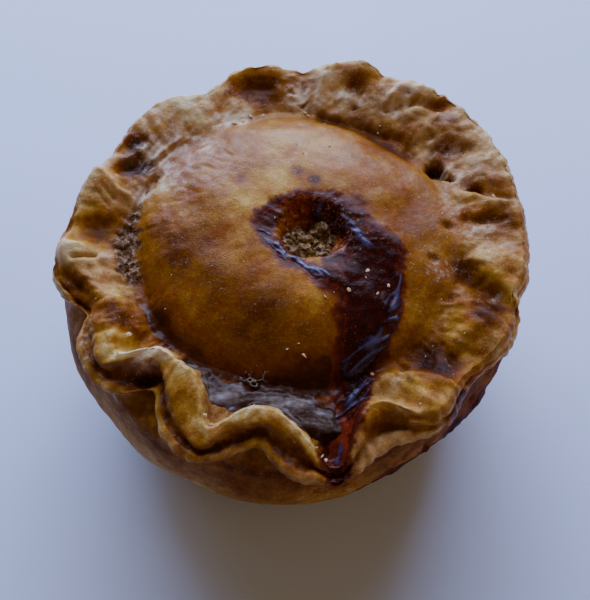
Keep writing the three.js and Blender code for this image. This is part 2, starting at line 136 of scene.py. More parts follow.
# finer ridges (up) and creases (down): points x, y, then the half width on
# the left and on the right of the way they are walked, and the height
RIDGES = (
    (((31.6, -5.6), (33.9, -7.4), (35.8, -10.3)), 2.2, 0.9, 1.1),
    (((27.7, -10.9), (30.4, -11.1), (33.4, -14.5), (34.4, -17.5)), 0.8, 2.6, 0.9),
    (((23.6, -21.5), (24.6, -19), (27, -16.8), (29.5, -15.5)), 1.4, 1.6, 0.6),
    (((17.3, -23.4), (19.2, -26.4), (21.9, -29.4)), 1.4, 1.7, 0.7),
    (((13.9, -22.9), (17.3, -23.1), (21.7, -23.7), (24.5, -25.3)), 0.9, 2.4, 0.8),
    (((18, -20.5), (20.6, -20.5)), 0.5, 0.6, 0.5),
    (((29.8, 12.6), (33.1, 10.3), (37.1, 9.2)), 0.7, 0.7, -0.9),
    (((28.9, 10.9), (32.8, 8.6), (36.9, 7.4)), 0.8, 1.4, 0.6),
    (((29.3, 5.4), (32.7, 5), (35.4, 5.2)), 0.6, 0.8, -0.8),
    (((2, 36.4), (2, 31.7), (2.9, 29.5)), 1, 1.2, -0.8),
    (((16.4, 28.6), (17.6, 30.6), (19.8, 32.9)), 0.7, 2, 0.6),
    (((16.8, 29.1), (21.2, 29.8), (26.6, 28.7)), 0.8, 0.8, -0.8),
    (((17.2, 26.8), (19.4, 28.6), (22.1, 28.7)), 0.9, 1.6, 0.5),
    (((22.6, 24.2), (23.4, 24)), 1.7, 1.7, 0.6),
    (((26.2, 23.5), (27, 23.2)), 1.7, 1.7, 0.5),
    (((25.9, 20.6), (28.2, 19.9), (31, 19.4)), 0.9, 1, -0.7),
    (((-29.7, 15.1), (-26.5, 18)), 1, 1, -0.8),
    (((-26.4, 15.8), (-24.4, 17.3)), 0.8, 0.8, -0.5),
    (((-19.7, 22.7), (-22.3, 20.4), (-24.8, 18), (-27.2, 14.8)), 0.7, 0.5, 0.4),
    (((-23.4, 15), (-24.6, 13.4), (-25.7, 11.7), (-26.6, 9.5), (-27, 8.2)), 0.32, 0.32, -1),
    (((-22.9, 15.6), (-24.3, 14.4), (-25.3, 12)), 0.3, 0.3, -0.4),
    (((-33.9, 14.8), (-31.3, 13), (-28.6, 10.6)), 0.8, 0.9, 0.6),
    (((-32.6, 11.6), (-30.2, 9.4)), 0.25, 0.25, -0.4),
    (((-33.4, 10.6), (-31.2, 8.2)), 0.25, 0.25, -0.35),
    (((-37.7, -0.1), (-34.4, 0.2), (-32.1, 0.3)), 0.8, 1, 0.7),
    (((-36.3, -2.5), (-32.6, -1.8)), 0.35, 0.35, -0.8),
    (((-31.1, -1.8), (-30.5, -1.8)), 1.2, 1.2, 0.7),
    (((5.1, 28.9), (9.6, 27.9), (15, 25.6), (19.4, 23.6), (21.4, 20.2)), 0.7, 0.7, -0.9),
    (((-28.6, -20.8), (-31.8, -23.4)), 0.8, 0.8, -0.5),
    (((-13.6, -34.2), (-14.2, -36.4)), 0.8, 0.8, -0.5),
    (((11.5, -33), (14.6, -31.4), (18.5, -31.2), (21.6, -31.6)), 0.7, 0.8, -1),
    (((19.8, 31.3), (19.8, 31.5)), 0.5, 0.5, -0.7),
    (((20.9, 31.4), (20.9, 31.6)), 0.4, 0.4, -0.6),
    (((26.1, 30.8), (26.4, 30.7)), 0.5, 0.5, -0.6),
    (((26.1, 3.6), (26.3, 3.4)), 0.6, 0.6, -0.9),
    (((23.2, -3.1), (23.5, -3.2)), 0.6, 0.6, -0.7),
    (((31.6, 11.5), (32.2, 11.1)), 0.5, 0.5, -0.7),
)
# azimuth, radius, half length, half width, turn, depth: a hole and its slit
TEARS = ((33, 29.9, 2.1, 1.6, 80, 3), (28.5, 30.6, 1.9, 0.6, -60, 1.8))
TEAR_EDGE, TEAR_SOFT, TEAR_RAGGED = 1.12, 0.3, 0.22

# ---- fineness of the meshes ------------------------------------------------

AROUND = 600
# the columns of points stand closest together at this azimuth
CROWDING_AT, CROWDING = 246, 0.3
WALL_STEPS, RIM_STEPS = 4, 6
FLANGE_RINGS, DOME_RINGS, HOLE_RINGS, HOLE_RING = 34, 44, 12, 5.2
FLANGE_CROWDING = 1.15
# the part of the dome in which the rings' middle moves over to the hole's
DRIFT = 0.7
# rings that the films have for one of the crust, and the zones they lie in
SKIN_STEPS = 3
SKIN_ZONES = (1.3, 4.7)
# the zone where the steep inside of the hole begins
INSIDE_HOLE = 4.3

# ---- helpers ---------------------------------------------------------------

# far outside, as a depth in mm
OUTSIDE = -99.0
# primes that scatter a cell's place, and then the parts of its slope
CELL_PRIMES = (73856093, 19349663, 83492791)
SLOPE_PRIMES = (2654435761, 2246822519, 3266489917)
SEED_PRIME, SEED_START, SEED_SHIFT = 7919, 101, 31.7
NOISE_GAIN = 1.4


def mix(a, b, t):
    """a at t = 0, going over to b at t = 1"""
    return a + (b - a) * t


def turn_to(a, b):
    """degrees from b to a, the short way round"""
    return (a - b + 180) % 360 - 180


def hump(d, w):
    """1 at distance 0, fading to nothing beyond a half width"""
    return np.exp(-((d / w) ** 2))


def ease(t):
    """0 to 1, starting and ending softly"""
    c = np.clip(t, 0, 1)
    return c * c * (3 - 2 * c)


def past(value, start, soft):
    """0 up to a start, easing to 1 over the next `soft`"""
    return ease((value - start) / soft)


def between(azimuth, start, end, soft):
    """1 between two azimuths, easing to 0 over `soft` degrees inside them"""
    return ease(turn_to(azimuth, start) / soft) * ease(turn_to(end, azimuth) / soft)


def swelling(azimuth, swells, column):
    """sum of soft swells round the pie, in one column of their table"""
    return sum(swell[column] * hump(turn_to(azimuth, swell[0]), swell[1]) for swell in swells)


def spots(x, y, places):
    """sum of soft round spots, each given as x, y, radius, amount"""
    return sum(amount * hump(np.hypot(x - px, y - py), wide) for px, py, wide, amount in places)


def noise(points, size, seed=0):
    """smooth noise in about -1 to 1, with features about `size` apart"""
    q = points / size + SEED_SHIFT * seed
    cell = np.floor(q).astype(np.int64)
    f = q - cell
    w = f * f * f * (f * (f * 6 - 15) + 10)
    total = np.zeros(len(points))
    for corner in itertools.product((0, 1), repeat=3):
        c = (cell + corner) * CELL_PRIMES
        h = c[:, 0] ^ c[:, 1] ^ c[:, 2] ^ (seed * SEED_PRIME + SEED_START)
        slope = [(((h ^ (h >> 13)) * prime) & 0xFFFFFF) / 0x7FFFFF - 1 for prime in SLOPE_PRIMES]
        value = sum(s * (f[:, i] - corner[i]) for i, s in enumerate(slope))
        total += value * np.prod([w[:, i] if corner[i] else 1 - w[:, i] for i in range(3)], axis=0)
    return total * NOISE_GAIN


def waves(points, *layers):
    """sum of noises, each given as height, size and seed"""
    return sum(height * noise(points, size, seed) for height, size, seed in layers)


def creases(points, size, seed, wide=0.25):
    """1 along the thin lines where a noise crosses zero"""
    return np.maximum(0, 1 - np.abs(noise(points, size, seed)) / wide)


def from_above(x, y):
    """points for a noise that is the same at every height"""
    return np.stack([x, y, np.zeros(x.shape)], -1).reshape(-1, 3)


def beside(x, y, ax, ay, bx, by):
    """place along a straight side, 0 to 1, and distance from it"""
    dx, dy = bx - ax, by - ay
    t = np.clip(((x - ax) * dx + (y - ay) * dy) / (dx * dx + dy * dy), 0, 1)
    return t, np.hypot(x - ax - t * dx, y - ay - t * dy)


def capsules(x, y, chain):
    """depth in mm inside a chain of discs (x, y, radius) joined by straight sides"""
    depth = np.full(x.shape, OUTSIDE)
    for (ax, ay, ar), (bx, by, br) in zip(chain, chain[1:]):
        t, far = beside(x, y, ax, ay, bx, by)
        depth = np.maximum(depth, mix(ar, br, t) - far)
    return depth


def turned(x, y, at, r, turn):
    """places along and across a mark at an azimuth and radius, turned from its spoke"""
    a, t = at * DEG, (at + turn) * DEG
    dx, dy = x - r * math.cos(a), y - r * math.sin(a)
    return dx * math.cos(t) + dy * math.sin(t), dy * math.cos(t) - dx * math.sin(t)


# ---- the form of the crust -------------------------------------------------


def pinch_depth(azimuth, at, before, after):
    """1 where a finger pinched the rim, 0 from some degrees before and after it"""
    d = turn_to(azimuth, at)
    return np.maximum(0, 1 - np.abs(d) / np.where(d < 0, before, after))


def dome_foot(azimuth):
    """distance from the axis to the foot of the dome"""
    a = azimuth * DEG
    along = DOME_X * np.cos(a) + DOME_Y * np.sin(a)
    across = DOME_X * np.sin(a) - DOME_Y * np.cos(a)
    wavy = sum(out * np.sin(count * a + start) for count, out, start in DOME_WAVES)
    foot = along + np.sqrt((DOME_RADIUS + wavy) ** 2 - across ** 2)
    return foot + swelling(azimuth, MOAT_SWELLS, OUTWARD)


def outline(azimuth):
    """lip and crest radii of the rim, and the crest's height"""
    lip = LIP_RADIUS + swelling(azimuth, RIM_SWELLS, OUTWARD)
    crest = lip - CREST_INSET
    crest_z = CREST_HEIGHT + swelling(azimuth, RIM_SWELLS, UP)
    for at, before, after, inward, power, rise in CREST_PINCHES:
        inside = pinch_depth(azimuth, at, before, after)
        crest = crest - inward * (1 - (1 - inside) ** power)
        crest_z = crest_z + rise * ease(inside)
    for at, before, after, inward, power in LIP_PINCHES:
        lip = lip - inward * pinch_depth(azimuth, at, before, after) ** power
    return lip, np.minimum(crest, lip - LEAST_OVERHANG), crest_z


class Rim:
    """lip, crest and moat of the rim at an array of azimuths"""

    def __init__(self, azimuth):
        near = [outline(azimuth + step) for step in SOFTENING]
        self.lip, self.crest, self.crest_z = (sum(values) / len(near) for values in zip(*near))
        self.upright = between(azimuth, UPRIGHT_FROM, UPRIGHT_TO, UPRIGHT_EASE)
        self.foot = dome_foot(azimuth)
        self.moat = np.minimum(self.foot + MOAT_WIDTH, self.crest - LEAST_RUN)
        self.run = np.minimum(mix(FLAT_RUN, UPRIGHT_RUN, self.upright), self.crest - self.moat)
        self.moat_z = MOAT_HEIGHT + swelling(azimuth, MOAT_SWELLS, UP)
        self.lip_z = mix(FLAT_LIP_HEIGHT, UPRIGHT_LIP_HEIGHT, self.upright)


def ridge_rise(x, y):
    """height of the finer ridges and creases"""
    rise = np.zeros(x.shape)
    for chain, left, right, up in RIDGES:
        nearest = np.full(x.shape, -OUTSIDE)
        width = np.ones(x.shape)
        for (ax, ay), (bx, by) in zip(chain, chain[1:]):
            _, far = beside(x, y, ax, ay, bx, by)
            on_left = (bx - ax) * (y - ay) - (by - ay) * (x - ax) > 0
            width = np.where(far < nearest, np.where(on_left, left, right), width)
            nearest = np.minimum(nearest, far)
        rise += up * hump(nearest, width)
    return rise


def mark_rise(x, y):
    """height of the broad marks that fingers left in the rim, below 0 in a hollow"""
    rise = np.zeros(x.shape)
    for at, r, long, wide, turn, deep in MARKS:
        along, across = turned(x, y, at, r, turn)
        rise -= deep * np.exp(-((along / long) ** 2) - (across / wide) ** 2)
    return rise


def tear_depth(x, y):
    """depth of the hole torn through the flat rim, with a ragged edge"""
    deep = np.zeros(x.shape)
    ragged = TEAR_RAGGED * noise(from_above(x, y), 0.8, 5).reshape(x.shape)
    for at, r, long, wide, turn, depth in TEARS:
        along, across = turned(x, y, at, r, turn)
        out = np.hypot(along / long, across / wide) + ragged
        deep = np.maximum(deep, depth * ease((TEAR_EDGE - out) / TEAR_SOFT))
    return deep


def from_hole(x, y):
    """distance from the middle of the steam hole, shortened where it reaches farther"""
    dx, dy = x - HOLE_X, y - HOLE_Y
    return np.hypot(np.where(dx > 0, dx / HOLE_RIGHT, dx), np.where(dy > 0, dy / HOLE_BACK, dy))


def lid_height(x, y):
    """height of the lid's upper side inside the crest"""
    azimuth = np.degrees(np.arctan2(y, x))
    r = np.hypot(x, y)
    rim = Rim(azimuth)
    climb = np.clip((r - rim.crest + rim.run) / rim.run, 0, 1)
    flat = np.sin(climb * math.pi / 2) ** FLAT_RIM_SHOULDER
    z = mix(rim.moat_z, rim.crest_z, mix(flat, ease(climb), rim.upright))
    inward = np.minimum(r / rim.foot, 1)
    faded = sum(between(azimuth, start, end, FADE_EASE) for start, end in FADES)
    shoulder = mix(DOME_SHOULDER, FADE_SHOULDER, faded)
    z += (DOME_HEIGHT + MOAT_HEIGHT - rim.moat_z) * (1 - inward ** DOME_ROUNDNESS) ** shoulder
    z += spots(x, y, LID_LUMPS) * ease((1 - inward) / LUMP_FADE)
    z -= BOWL_DEPTH * hump(np.hypot(x - HOLE_X, y - HOLE_Y), BOWL_RADIUS)
    h = from_hole(x, y)
    ragged = waves(from_above(x, y), (0.8, 2.2, 7), (0.4, 0.9, 8)).reshape(x.shape)
    h = h + ragged * hump(h, HOLE_RAGGED)
    z += HOLE_LIP_UP * hump(h - HOLE_LIP_R, HOLE_LIP_WIDE)
    z -= HOLE_DEPTH * ease(HOLE_FLARE - h / HOLE_RADIUS)
    return z + mark_rise(x, y)


def outer_section(azimuth):
    """radii and heights of the wall's and rim's outer face, foot to crest"""
    a = azimuth * DEG
    rim = Rim(azimuth)
    out = swelling(azimuth, WALL_SWELLS, OUTWARD)
    points = [(np.full(a.shape, FOOT_RADIUS), np.zeros(a.shape))]
    for r, z in WALL_SECTION:
        wavy = sum(o * np.sin(count * a + slant * z) for count, o, slant in WALL_WAVES)
        points.append((r + (out + wavy) * min(1, z / SWELL_HEIGHT), np.full(a.shape, z)))
    shoulder_r, shoulder_z = points[-1]
    gap = rim.lip - rim.crest
    ear = hump(turn_to(azimuth, EAR_AT), EAR_WIDE)
    bead = np.minimum(BEAD_WIDE + EAR_BEAD * ear, gap * mix(BEAD_SHARE, EAR_SHARE, ear))
    scoop = mix(SCOOP_AT, EAR_SCOOP_AT, ear)
    points += [
        (np.minimum(rim.lip - TUCK_IN, shoulder_r - LIP_IN),
         np.maximum(shoulder_z + LEAST_TUCK, rim.lip_z - TUCK_DOWN)),
        (rim.lip - LIP_IN, rim.lip_z - LIP_DOWN),
        (rim.lip, rim.lip_z),
    ]
    faces = (
        (rim.lip - np.minimum(BEAD_WIDE, gap * scoop) / 2, rim.lip_z + LIP_UP),
        (mix(rim.lip, rim.crest, scoop) - SCOOP_IN * rim.upright * (1 - ear),
         mix(rim.lip_z, rim.crest_z, SCOOP_HEIGHT) - SCOOP_DEEP * np.minimum(1, gap / SCOOP_FULL)),
        (rim.crest + bead, rim.crest_z - BEAD_DOWN - EAR_DOWN * ear),
    )
    for r, z in faces:
        points.append((r, z + mark_rise(r * np.cos(a), r * np.sin(a))))
    points.append((rim.crest, lid_height(rim.crest * np.cos(a), rim.crest * np.sin(a))))
    return points


def catmull_rom(p0, p1, p2, p3, t):
    """point on the smooth line through four points, at part t of its middle stretch"""
    slope = p2 - p0
    bend = 2 * p0 - 5 * p1 + 4 * p2 - p3
    twist = 3 * p1 - p0 - 3 * p2 + p3
    return 0.5 * (2 * p1 + slope * t + bend * t * t + twist * t ** 3)


def crust_grid(azimuth):
    """points (azimuth, ring, xyz) of the smooth crust, and the zone of each ring:
    0-1 wall, 1-2 outer face of the rim, 2-3 flange, 3-4 dome, 4-5 steam hole"""
    a = azimuth * DEG
    cos, sin = np.cos(a), np.sin(a)
    section = outer_section(azimuth)
    last, wall = len(section) - 1, len(WALL_SECTION)
    rings, zones = [], []
    for i in range(last):
        four = [section[k] for k in (max(0, i - 1), i, i + 1, min(last, i + 2))]
        steps = WALL_STEPS if i < wall else RIM_STEPS
        for s in range(steps):
            t = s / steps
            r, z = (catmull_rom(*[p[k] for p in four], t) for k in (0, 1))
            rings.append((r * cos, r * sin, z))
            zones.append((i + t) / wall if i < wall else 1 + (i + t - wall) / (last - wall))
    rim = Rim(azimuth)
    lid = []
    for i in range(FLANGE_RINGS):
        r = mix(rim.crest, rim.moat, 1 - (1 - i / FLANGE_RINGS) ** FLANGE_CROWDING)
        lid.append((r * cos, r * sin, 2 + i / FLANGE_RINGS))
    for i in range(DOME_RINGS):
        part = i / DOME_RINGS
        drift = ease(part / DRIFT)
        r = mix(rim.moat, HOLE_RING, part)
        lid.append((drift * HOLE_X + r * cos, drift * HOLE_Y + r * sin, 3 + part))
    for i in range(HOLE_RINGS):
        r = HOLE_RING * (1 - i / HOLE_RINGS)
        lid.append((HOLE_X + r * cos, HOLE_Y + r * sin, 4 + i / HOLE_RINGS))
    for x, y, zone in lid:
        rings.append((x, y, lid_height(x, y)))
        zones.append(zone)
    return np.stack([np.stack(r, -1) for r in rings], 1), np.array(zones)


def grid_normals(grid):
    """outward normals of a grid that closes on itself round the axis"""
    along = np.roll(grid, -1, 0) - np.roll(grid, 1, 0)
    up = np.gradient(grid, axis=1)
    n = np.cross(along, up)
    return n / np.maximum(np.linalg.norm(n, axis=-1, keepdims=True), 1e-9)


def full_turn(count):
    """angles in radians of the columns of a grid that goes once round"""
    return np.arange(count) / count * 2 * math.pi


columns = full_turn(AROUND)
azimuths = np.degrees(columns - CROWDING * np.sin(columns - CROWDING_AT * DEG))
smooth_grid, ring_zone = crust_grid(azimuths)
shape = smooth_grid.shape[:2]
rings = shape[1]
zone = np.broadcast_to(ring_zone, shape).ravel()
azimuth = np.broadcast_to(azimuths[:, None], shape).ravel() % 360
base = smooth_grid.reshape(-1, 3)
normal = grid_normals(smooth_grid).reshape(-1, 3)
x, y, z = base.T
radius = np.hypot(x, y)
rim = Rim(azimuth)
on_wall = 1 - past(zone, 0.95, 0.1)
on_lid = past(zone, 2.95, 0.1)
on_rim = (1 - on_wall) * (1 - on_lid)

# ---- where the crust is wet, dark, dry or pale -----------------------------

# centre line and half width of the spilled juice: round the back of the
# steam hole, down the right of the dome, through the moat and over the rim
JUICE = (
    (-4.6, 3.6, 0.7), (-1.6, 5.8, 1.3), (2.5, 6.4, 1.9), (7.2, 5, 2.6), (10.4, 1.4, 3.3),
    (13.4, -3.2, 4.7), (12.8, -8.7, 5.5), (12.2, -13.2, 4.9), (11.6, -17, 4), (10.8, -20.5, 3.4),
    (10, -24, 2.8), (8.8, -28, 2.6), (7.4, -31.6, 2.5), (6.8, -35.6, 2), (7.1, -38.4, 1.7),
    (7.5, -41, 1.3),
)
# the juice's way round the front of the hole
JUICE_BRANCH = (
    (-5.4, 1.6, 0.5), (-3.6, -1.4, 1), (-0.8, -4.4, 1.2), (3.4, -6.6, 1.4), (7.6, -8.6, 2.4),
    (11, -9.5, 3),
)
# the stained back and right side of the bowl round the hole
BOWL_BACK = (
    (-3.6, 1.6, 1.2), (-2.6, 4.6, 1.8), (1.6, 4.4, 2.6), (6, 3.4, 3.2), (8.6, 0.4, 2.6), (9, -2.8, 2.2),
    (6, -4.6, 1.2),
)
# where juice has run and baked on the outside, and in the entry at 314, high under the rim, painted shade
# in the recess under a fold: azimuth, width, height, reach, amount
WALL_STAINS_AND_SHADE = (
    (291, 7, 16, 3.5, 0.6), (300, 7, 18, 4, 1), (309, 7, 19.5, 4, 1.2), (318, 7, 21.5, 4, 1.2),
    (328, 7, 24, 4, 1), (338, 7, 27, 4, 0.8), (281, 6, 34, 5, 0.9), (314, 8, 39, 2, 0.7),
)
# a stain runs farther down than up
WALL_RUN = 0.35
# the broken, flaky strip of the moat at the left
DRY_MOAT = (
    (-26, 10, 0.2), (-27.4, 6, 1.2), (-28, 1.6, 2.4), (-27.6, -2.6, 2), (-25, -7, 0.8), (-22.6, -10, 0.2),
)
# the set jelly in the front moat
JELLY = (
    (-17.2, -20.4, 1.4), (-12.6, -25, 2.5), (-6.5, -26.6, 2.6), (-2.2, -27.2, 3.4), (2, -28.8, 3.4),
    (5.2, -30.6, 2.7),
)
# the next three go anticlockwise from the right
# places darker, or paler where below 0, from uneven browning and also painted shade in recesses and painted
# highlight on crests and on the dome: x, y, radius, darker
BAKE_AND_SHADE_PATCHES = (
    # on the dome
    (10.5, 6, 1.7, 0.5), (17, 12, 7, 0.06), (9, 17, 7, -0.02), (4, 10.8, 1, 0.4), (1.1, 12.3, 1.2, 0.4),
    (-1, 17, 8, -0.1), (-1.9, 10, 3, -0.2), (-10.5, 19, 5, 0.05), (-8.7, 11, 1.1, 0.25),
    (-12, 13, 8, 0.03), (-6.9, 5.7, 3.4, -0.26), (-16.3, 10.6, 3.6, 0.08), (-20, 0, 4, 0.08),
    (-9.5, -1.5, 2.5, -0.1), (-14, -3, 6, 0.06), (-17.5, -4, 6, 0.14), (-9, -6, 3.5, -0.06),
    (-8, -13, 8, 0.08), (-4, -13, 8, 0.12), (-2, -7.5, 2.6, -0.12), (2.5, -9.6, 3, -0.2),
    (3.5, -13, 2.6, -0.1), (5, -16, 6, 0.08), (7, -10, 2.5, 0.14), (2.8, -3, 1.4, -0.15),
    (6.3, -3.4, 1.6, -0.1), (6.6, -0.8, 1.7, -0.2),
    # round the dome's foot and in the moat
    (22, 3, 6, 0.12), (14.5, 17, 6, 0.04), (-22, 12, 2, -0.15), (-23, 3, 3, 0.08),
    (-20.5, -8.4, 4, -0.06), (-20.5, -20.6, 1.8, -0.3), (-17, -23.5, 2, -0.2), (-13, -26, 2.2, -0.1),
    (5.2, -28.2, 2.2, 0.5), (21.5, -19, 3.4, 0.2), (22, -12, 2.6, -0.13), (23, -9, 4, 0.14),
    (28.5, -4.5, 2.6, 0.3), (24, -1, 3, -0.08),
    # on the rim
    (33, 3, 4, 0.1), (31.8, 3.2, 2.2, 0.1), (37, 4, 2.5, 0.22), (34, 20, 4, -0.1), (30, 19, 2.6, -0.16),
    (27.5, 20.5, 2.4, 0.25), (27, 25, 2.5, 0.16), (22, 31, 3, -0.2), (9, 36.5, 2.2, 0.1),
    (7, 31.5, 3, -0.1), (7, 34, 3, -0.08), (-4.5, 33.5, 3.6, 0.2), (-10, 29, 2.5, -0.2),
    (-18, 29, 5, -0.18), (-20, 23.5, 2.2, 0.12), (-20, 22, 4, 0.1), (-24, 24.5, 4, -0.06),
    (-27.5, 21.5, 1.6, 0.35), (-26.5, 20.5, 3.5, 0.14), (-29, 19, 2.5, 0.06), (-25.4, 16.5, 1.2, 0.4),
    (-28, 16.5, 1.8, 0.4), (-28, 11, 2.5, 0.06), (-32, 11, 2.4, -0.1), (-35.5, 6.8, 3, -0.25),
    (-31.5, 4, 3.2, 0.12), (-38, -2, 2.2, -0.3), (-35.5, -6.8, 2.2, 0.2), (-36, -10, 2.5, -0.2),
    (-29, -8.6, 1.4, -0.3), (-31, -10, 2, -0.08), (-28.6, -13.7, 3.5, 0.28), (-26, -15, 4, 0.1),
    (-27.6, -16.6, 1.2, -0.3), (-26, -19, 1.6, -0.3), (-27.6, -21.5, 3, -0.14), (-24.5, -20.2, 1.6, -0.2),
    (-24.1, -20.8, 1.6, -0.2), (-22.6, -20.6, 2, -0.45), (-22, -26, 2.5, -0.2), (-18.2, -29.6, 2.5, 0.12),
    (-16.5, -30.5, 2.2, -0.15), (14.2, -27.4, 1.4, -0.15), (16.5, -26, 3.4, 0.06),
    (19.8, -27, 1.2, -0.15), (22, -29.5, 2.4, 0.12), (19.5, -24.5, 4.5, 0.12), (27, -29, 2.2, 0.42),
    (23.4, -23.2, 2.8, 0.4), (28, -21, 4, 0.12), (28.5, -20, 2.6, -0.2), (26.5, -17, 2, -0.15),
    (34, -18, 2.5, 0.1), (30, -15, 5, 0.08), (31, -13.5, 3.2, 0.48), (36.5, -6, 2.6, 0.18),
    (34, -4, 4, 0.1), (32.2, -2.3, 3, -0.15),
)
# floury, greyish places, some of them painted sheen and painted highlight where the crust catches the sky:
# x, y, radius, amount
FLOUR_AND_SHEEN = (
    # on the dome
    (1, 17, 8, 0.12), (-12, 15, 7, 0.12),
    # round the dome's foot and in the moat
    (27.4, 8, 3, 0.3), (-17, 21, 4, 0.3), (-22, 13, 3, 0.5), (-26, 11, 2, 0.6), (24, -5.5, 3, 0.1),
    (24, -3, 4, 0.15),
    # on the rim
    (30, 2.2, 1, 0.35), (31.6, 2.9, 1.5, 0.35), (33.6, 3.1, 1.2, 0.35), (29.5, 13, 2, 0.4),
    (33, 15, 3, 0.25), (26.3, 16, 2, 0.5), (30, 19, 2.6, 0.4), (24.5, 21, 2.4, 0.4), (22, 31, 3, 0.4),
    (18.5, 30, 3, 0.4), (12, 31, 3, 0.3), (6.6, 31.8, 2.6, 0.5), (7, 34, 3, 0.4), (2.4, 32, 2.4, 0.5),
    (1, 33, 3, 0.4), (-10, 28, 3, 0.6), (-11, 28.5, 2.5, 0.3), (-17, 29, 4.4, 0.35), (-23, 26, 5, 0.15),
    (-28, 24, 5, 0.15), (-23.5, 19, 3.4, 0.4), (-30.8, -1.6, 1.4, 0.6), (-38, -2, 2, 0.3),
    (-33.5, -17, 1.9, 0.6), (-33, -21, 1.9, 0.3), (-24.1, -20.8, 1.6, 0.5), (-22.2, -20.8, 1.6, 0.5),
    (-19, -24.5, 1.5, 0.3), (14.5, -26, 2, 0.1), (17, -24.5, 2.6, 0.3), (26.4, -17, 1.6, 0.3),
    (33, -9.6, 1.6, 0.3), (35.5, -0.5, 2, 0.3),
)
# places on the rim that are amber under the glaze: x, y, radius, amount
AMBER = (
    # on the rim
    (37, 3, 3, 0.6), (30, 8, 5, 0.5), (26, 22, 3, 0.4), (20, 24, 4, 0.3), (-6, 34, 4.5, 0.9),
    (-15, 27, 4, 0.4), (-24, 22, 5, 0.5), (-26, 19, 2.5, 0.6), (-30.5, 15.5, 3.5, 0.5), (-31, 4, 4, 1),
    (-27.6, -13.6, 5.5, 1), (-19, -28.5, 3.5, 0.6), (-3, -34, 3, 0.5), (13, -30.5, 2.4, 0.7),
    (17, -25.5, 4, 0.4), (22, -29.5, 2.6, 0.5), (22, -22, 4, 1), (23.5, -20.5, 5, 0.8), (29, -13, 5, 0.7),
    (31, -13.5, 4, 0.6), (30, -6.5, 4, 0.5), (36.5, -6, 3, 0.5),
)
# places that shine more or less than those round them: x, y, radius, more
SHEEN = (
    (-22, 17, 5, 0.7), (-25, -9, 3, 0.4), (24, -20, 7, -0.5), (-24, 22, 6, 0.4), (14, 15, 9, -0.5),
    (-11, 17, 7, -0.3), (-30, -14, 4, -0.4), (31, -14, 4, -0.3), (-24, -20.8, 2.2, 1.2),
    (-29, -22, 4, 0.8), (-24, -10, 3, 0.5), (-20, 21, 5, 1),
)
# stretches of the pie round its axis: from azimuth, to azimuth, degrees to ease over
FOLDED_RIM = (205, 286, 8)
BLISTERED_RIM = (335, 475, 20)
PITTED_RIM = (350, 462, 14)
SOAKED_AND_SHADED_LID = (184, 316, 26)
ROUGH_LID = (95, 200, 30)
BACK_MOAT = (38, 86, 8)
BROWN_WALL = (235, 372, 40)
BACK_WALL = (4, 206, 30)
PALE_WALL = (200, 250, 30)
AMBER_WALL = (238, 372, 26)
NICKED_WALL = (285, 360, 12)
# distance from the axis where the soaking and the painted shade of the dome's front start, the way over
# which they deepen, and the azimuth and width of the stretch where they start farther in, and how much
SOAK_AND_SHADE_FROM, SOAK_AND_SHADE_OVER = 18.6, 7.4
SOAK_AND_SHADE_AT, SOAK_AND_SHADE_WIDE, SOAK_AND_SHADE_IN = 290, 24, 2.8
# how brown the pie is on the whole
BAKED = 0.51
# radius of the circle that the rim's spokes are drawn on, and how much they are stretched
SPOKE_CIRCLE, SPOKE_STRETCH = 36, 0.45


def juice_depth(points):
    """depth in mm inside the ragged outline of the spilled juice"""
    px, py = points[:, 0], points[:, 1]
    depth = np.maximum(capsules(px, py, JUICE), capsules(px, py, JUICE_BRANCH))
    return depth + waves(points, (0.8, 4, 11), (0.6, 1.7, 12), (0.4, 0.8, 13))


# the forms that the colours follow: marks, ridges, the crest's bead, the
# folded front of the rim with its ear, scoop and lip, and the moat at the back
form = mark_rise(x, y) * past(zone, 1.3, 0.2)
detail = ridge_rise(x, y) * past(zone, 1.3, 0.2)
crest_gap = np.where(zone < 2, radius - rim.crest, rim.crest - radius)
bead = hump(np.maximum(crest_gap - 0.5, 0), 1.0) * (zone > 1.6)
folded = between(azimuth, *FOLDED_RIM)
ear = hump(turn_to(azimuth, EAR_AT), EAR_WIDE) * (zone > 1.7)
scoop = hump(zone - 1.68, 0.09)
lip = hump(zone - 1.5, 0.07)
moat_line = hump(radius - rim.foot - 0.6, 1.3) * between(azimuth, *BACK_MOAT) * (zone > 2.4)
hole = hump(from_hole(x, y), 4.2) * (zone > 3.5)
tear = tear_depth(x, y) * (zone > 2)

# stained by juice, and by runs of it down the wall, with one painted shade under a fold of the rim
bowl = past(capsules(x, y, BOWL_BACK), -0.8, 1.6) * (zone > 3)
stain_and_shade = np.maximum(past(juice_depth(base), -1.8, 3), bowl) * past(zone, 1.2, 0.2)
streaky = 0.8 * noise(base * (1, 1, 0.25), 2.6, 25) * on_wall
ragged = 1 + waves(base, (0.6, 2.4, 23), (0.4, 1.1, 24)) + streaky
for at, wide, height, tall, amount in WALL_STAINS_AND_SHADE:
    reach = np.where(z < height, (z - height) * WALL_RUN, z - height)
    run = amount * ragged * hump(turn_to(azimuth, at), wide) * hump(reach, tall)
    stain_and_shade = np.maximum(stain_and_shade, run * (zone < 1.95))

# dark at the front of the dome and in the moat: juice soaked in, and painted shade on the dome's front
# slope, which faces away from the light
soak_and_shade_reach = radius + SOAK_AND_SHADE_IN * hump(turn_to(azimuth, SOAK_AND_SHADE_AT), SOAK_AND_SHADE_WIDE)
soak_and_shade_reach += waves(base, (1.6, 6, 21), (0.8, 2.2, 22))
moat_side = np.minimum(rim.crest - 1.6, rim.foot + 3)
soak_and_shade = between(azimuth, *SOAKED_AND_SHADED_LID) * past(soak_and_shade_reach, SOAK_AND_SHADE_FROM, SOAK_AND_SHADE_OVER)
soak_and_shade *= ease((moat_side - radius) / 2) * (zone > 2)

# dry and broken
dry_depth = capsules(x, y, DRY_MOAT) + waves(base, (1.1, 2.2, 31), (0.6, 1, 33))
dry = past(dry_depth, -1, 2.4) * (zone > 2)
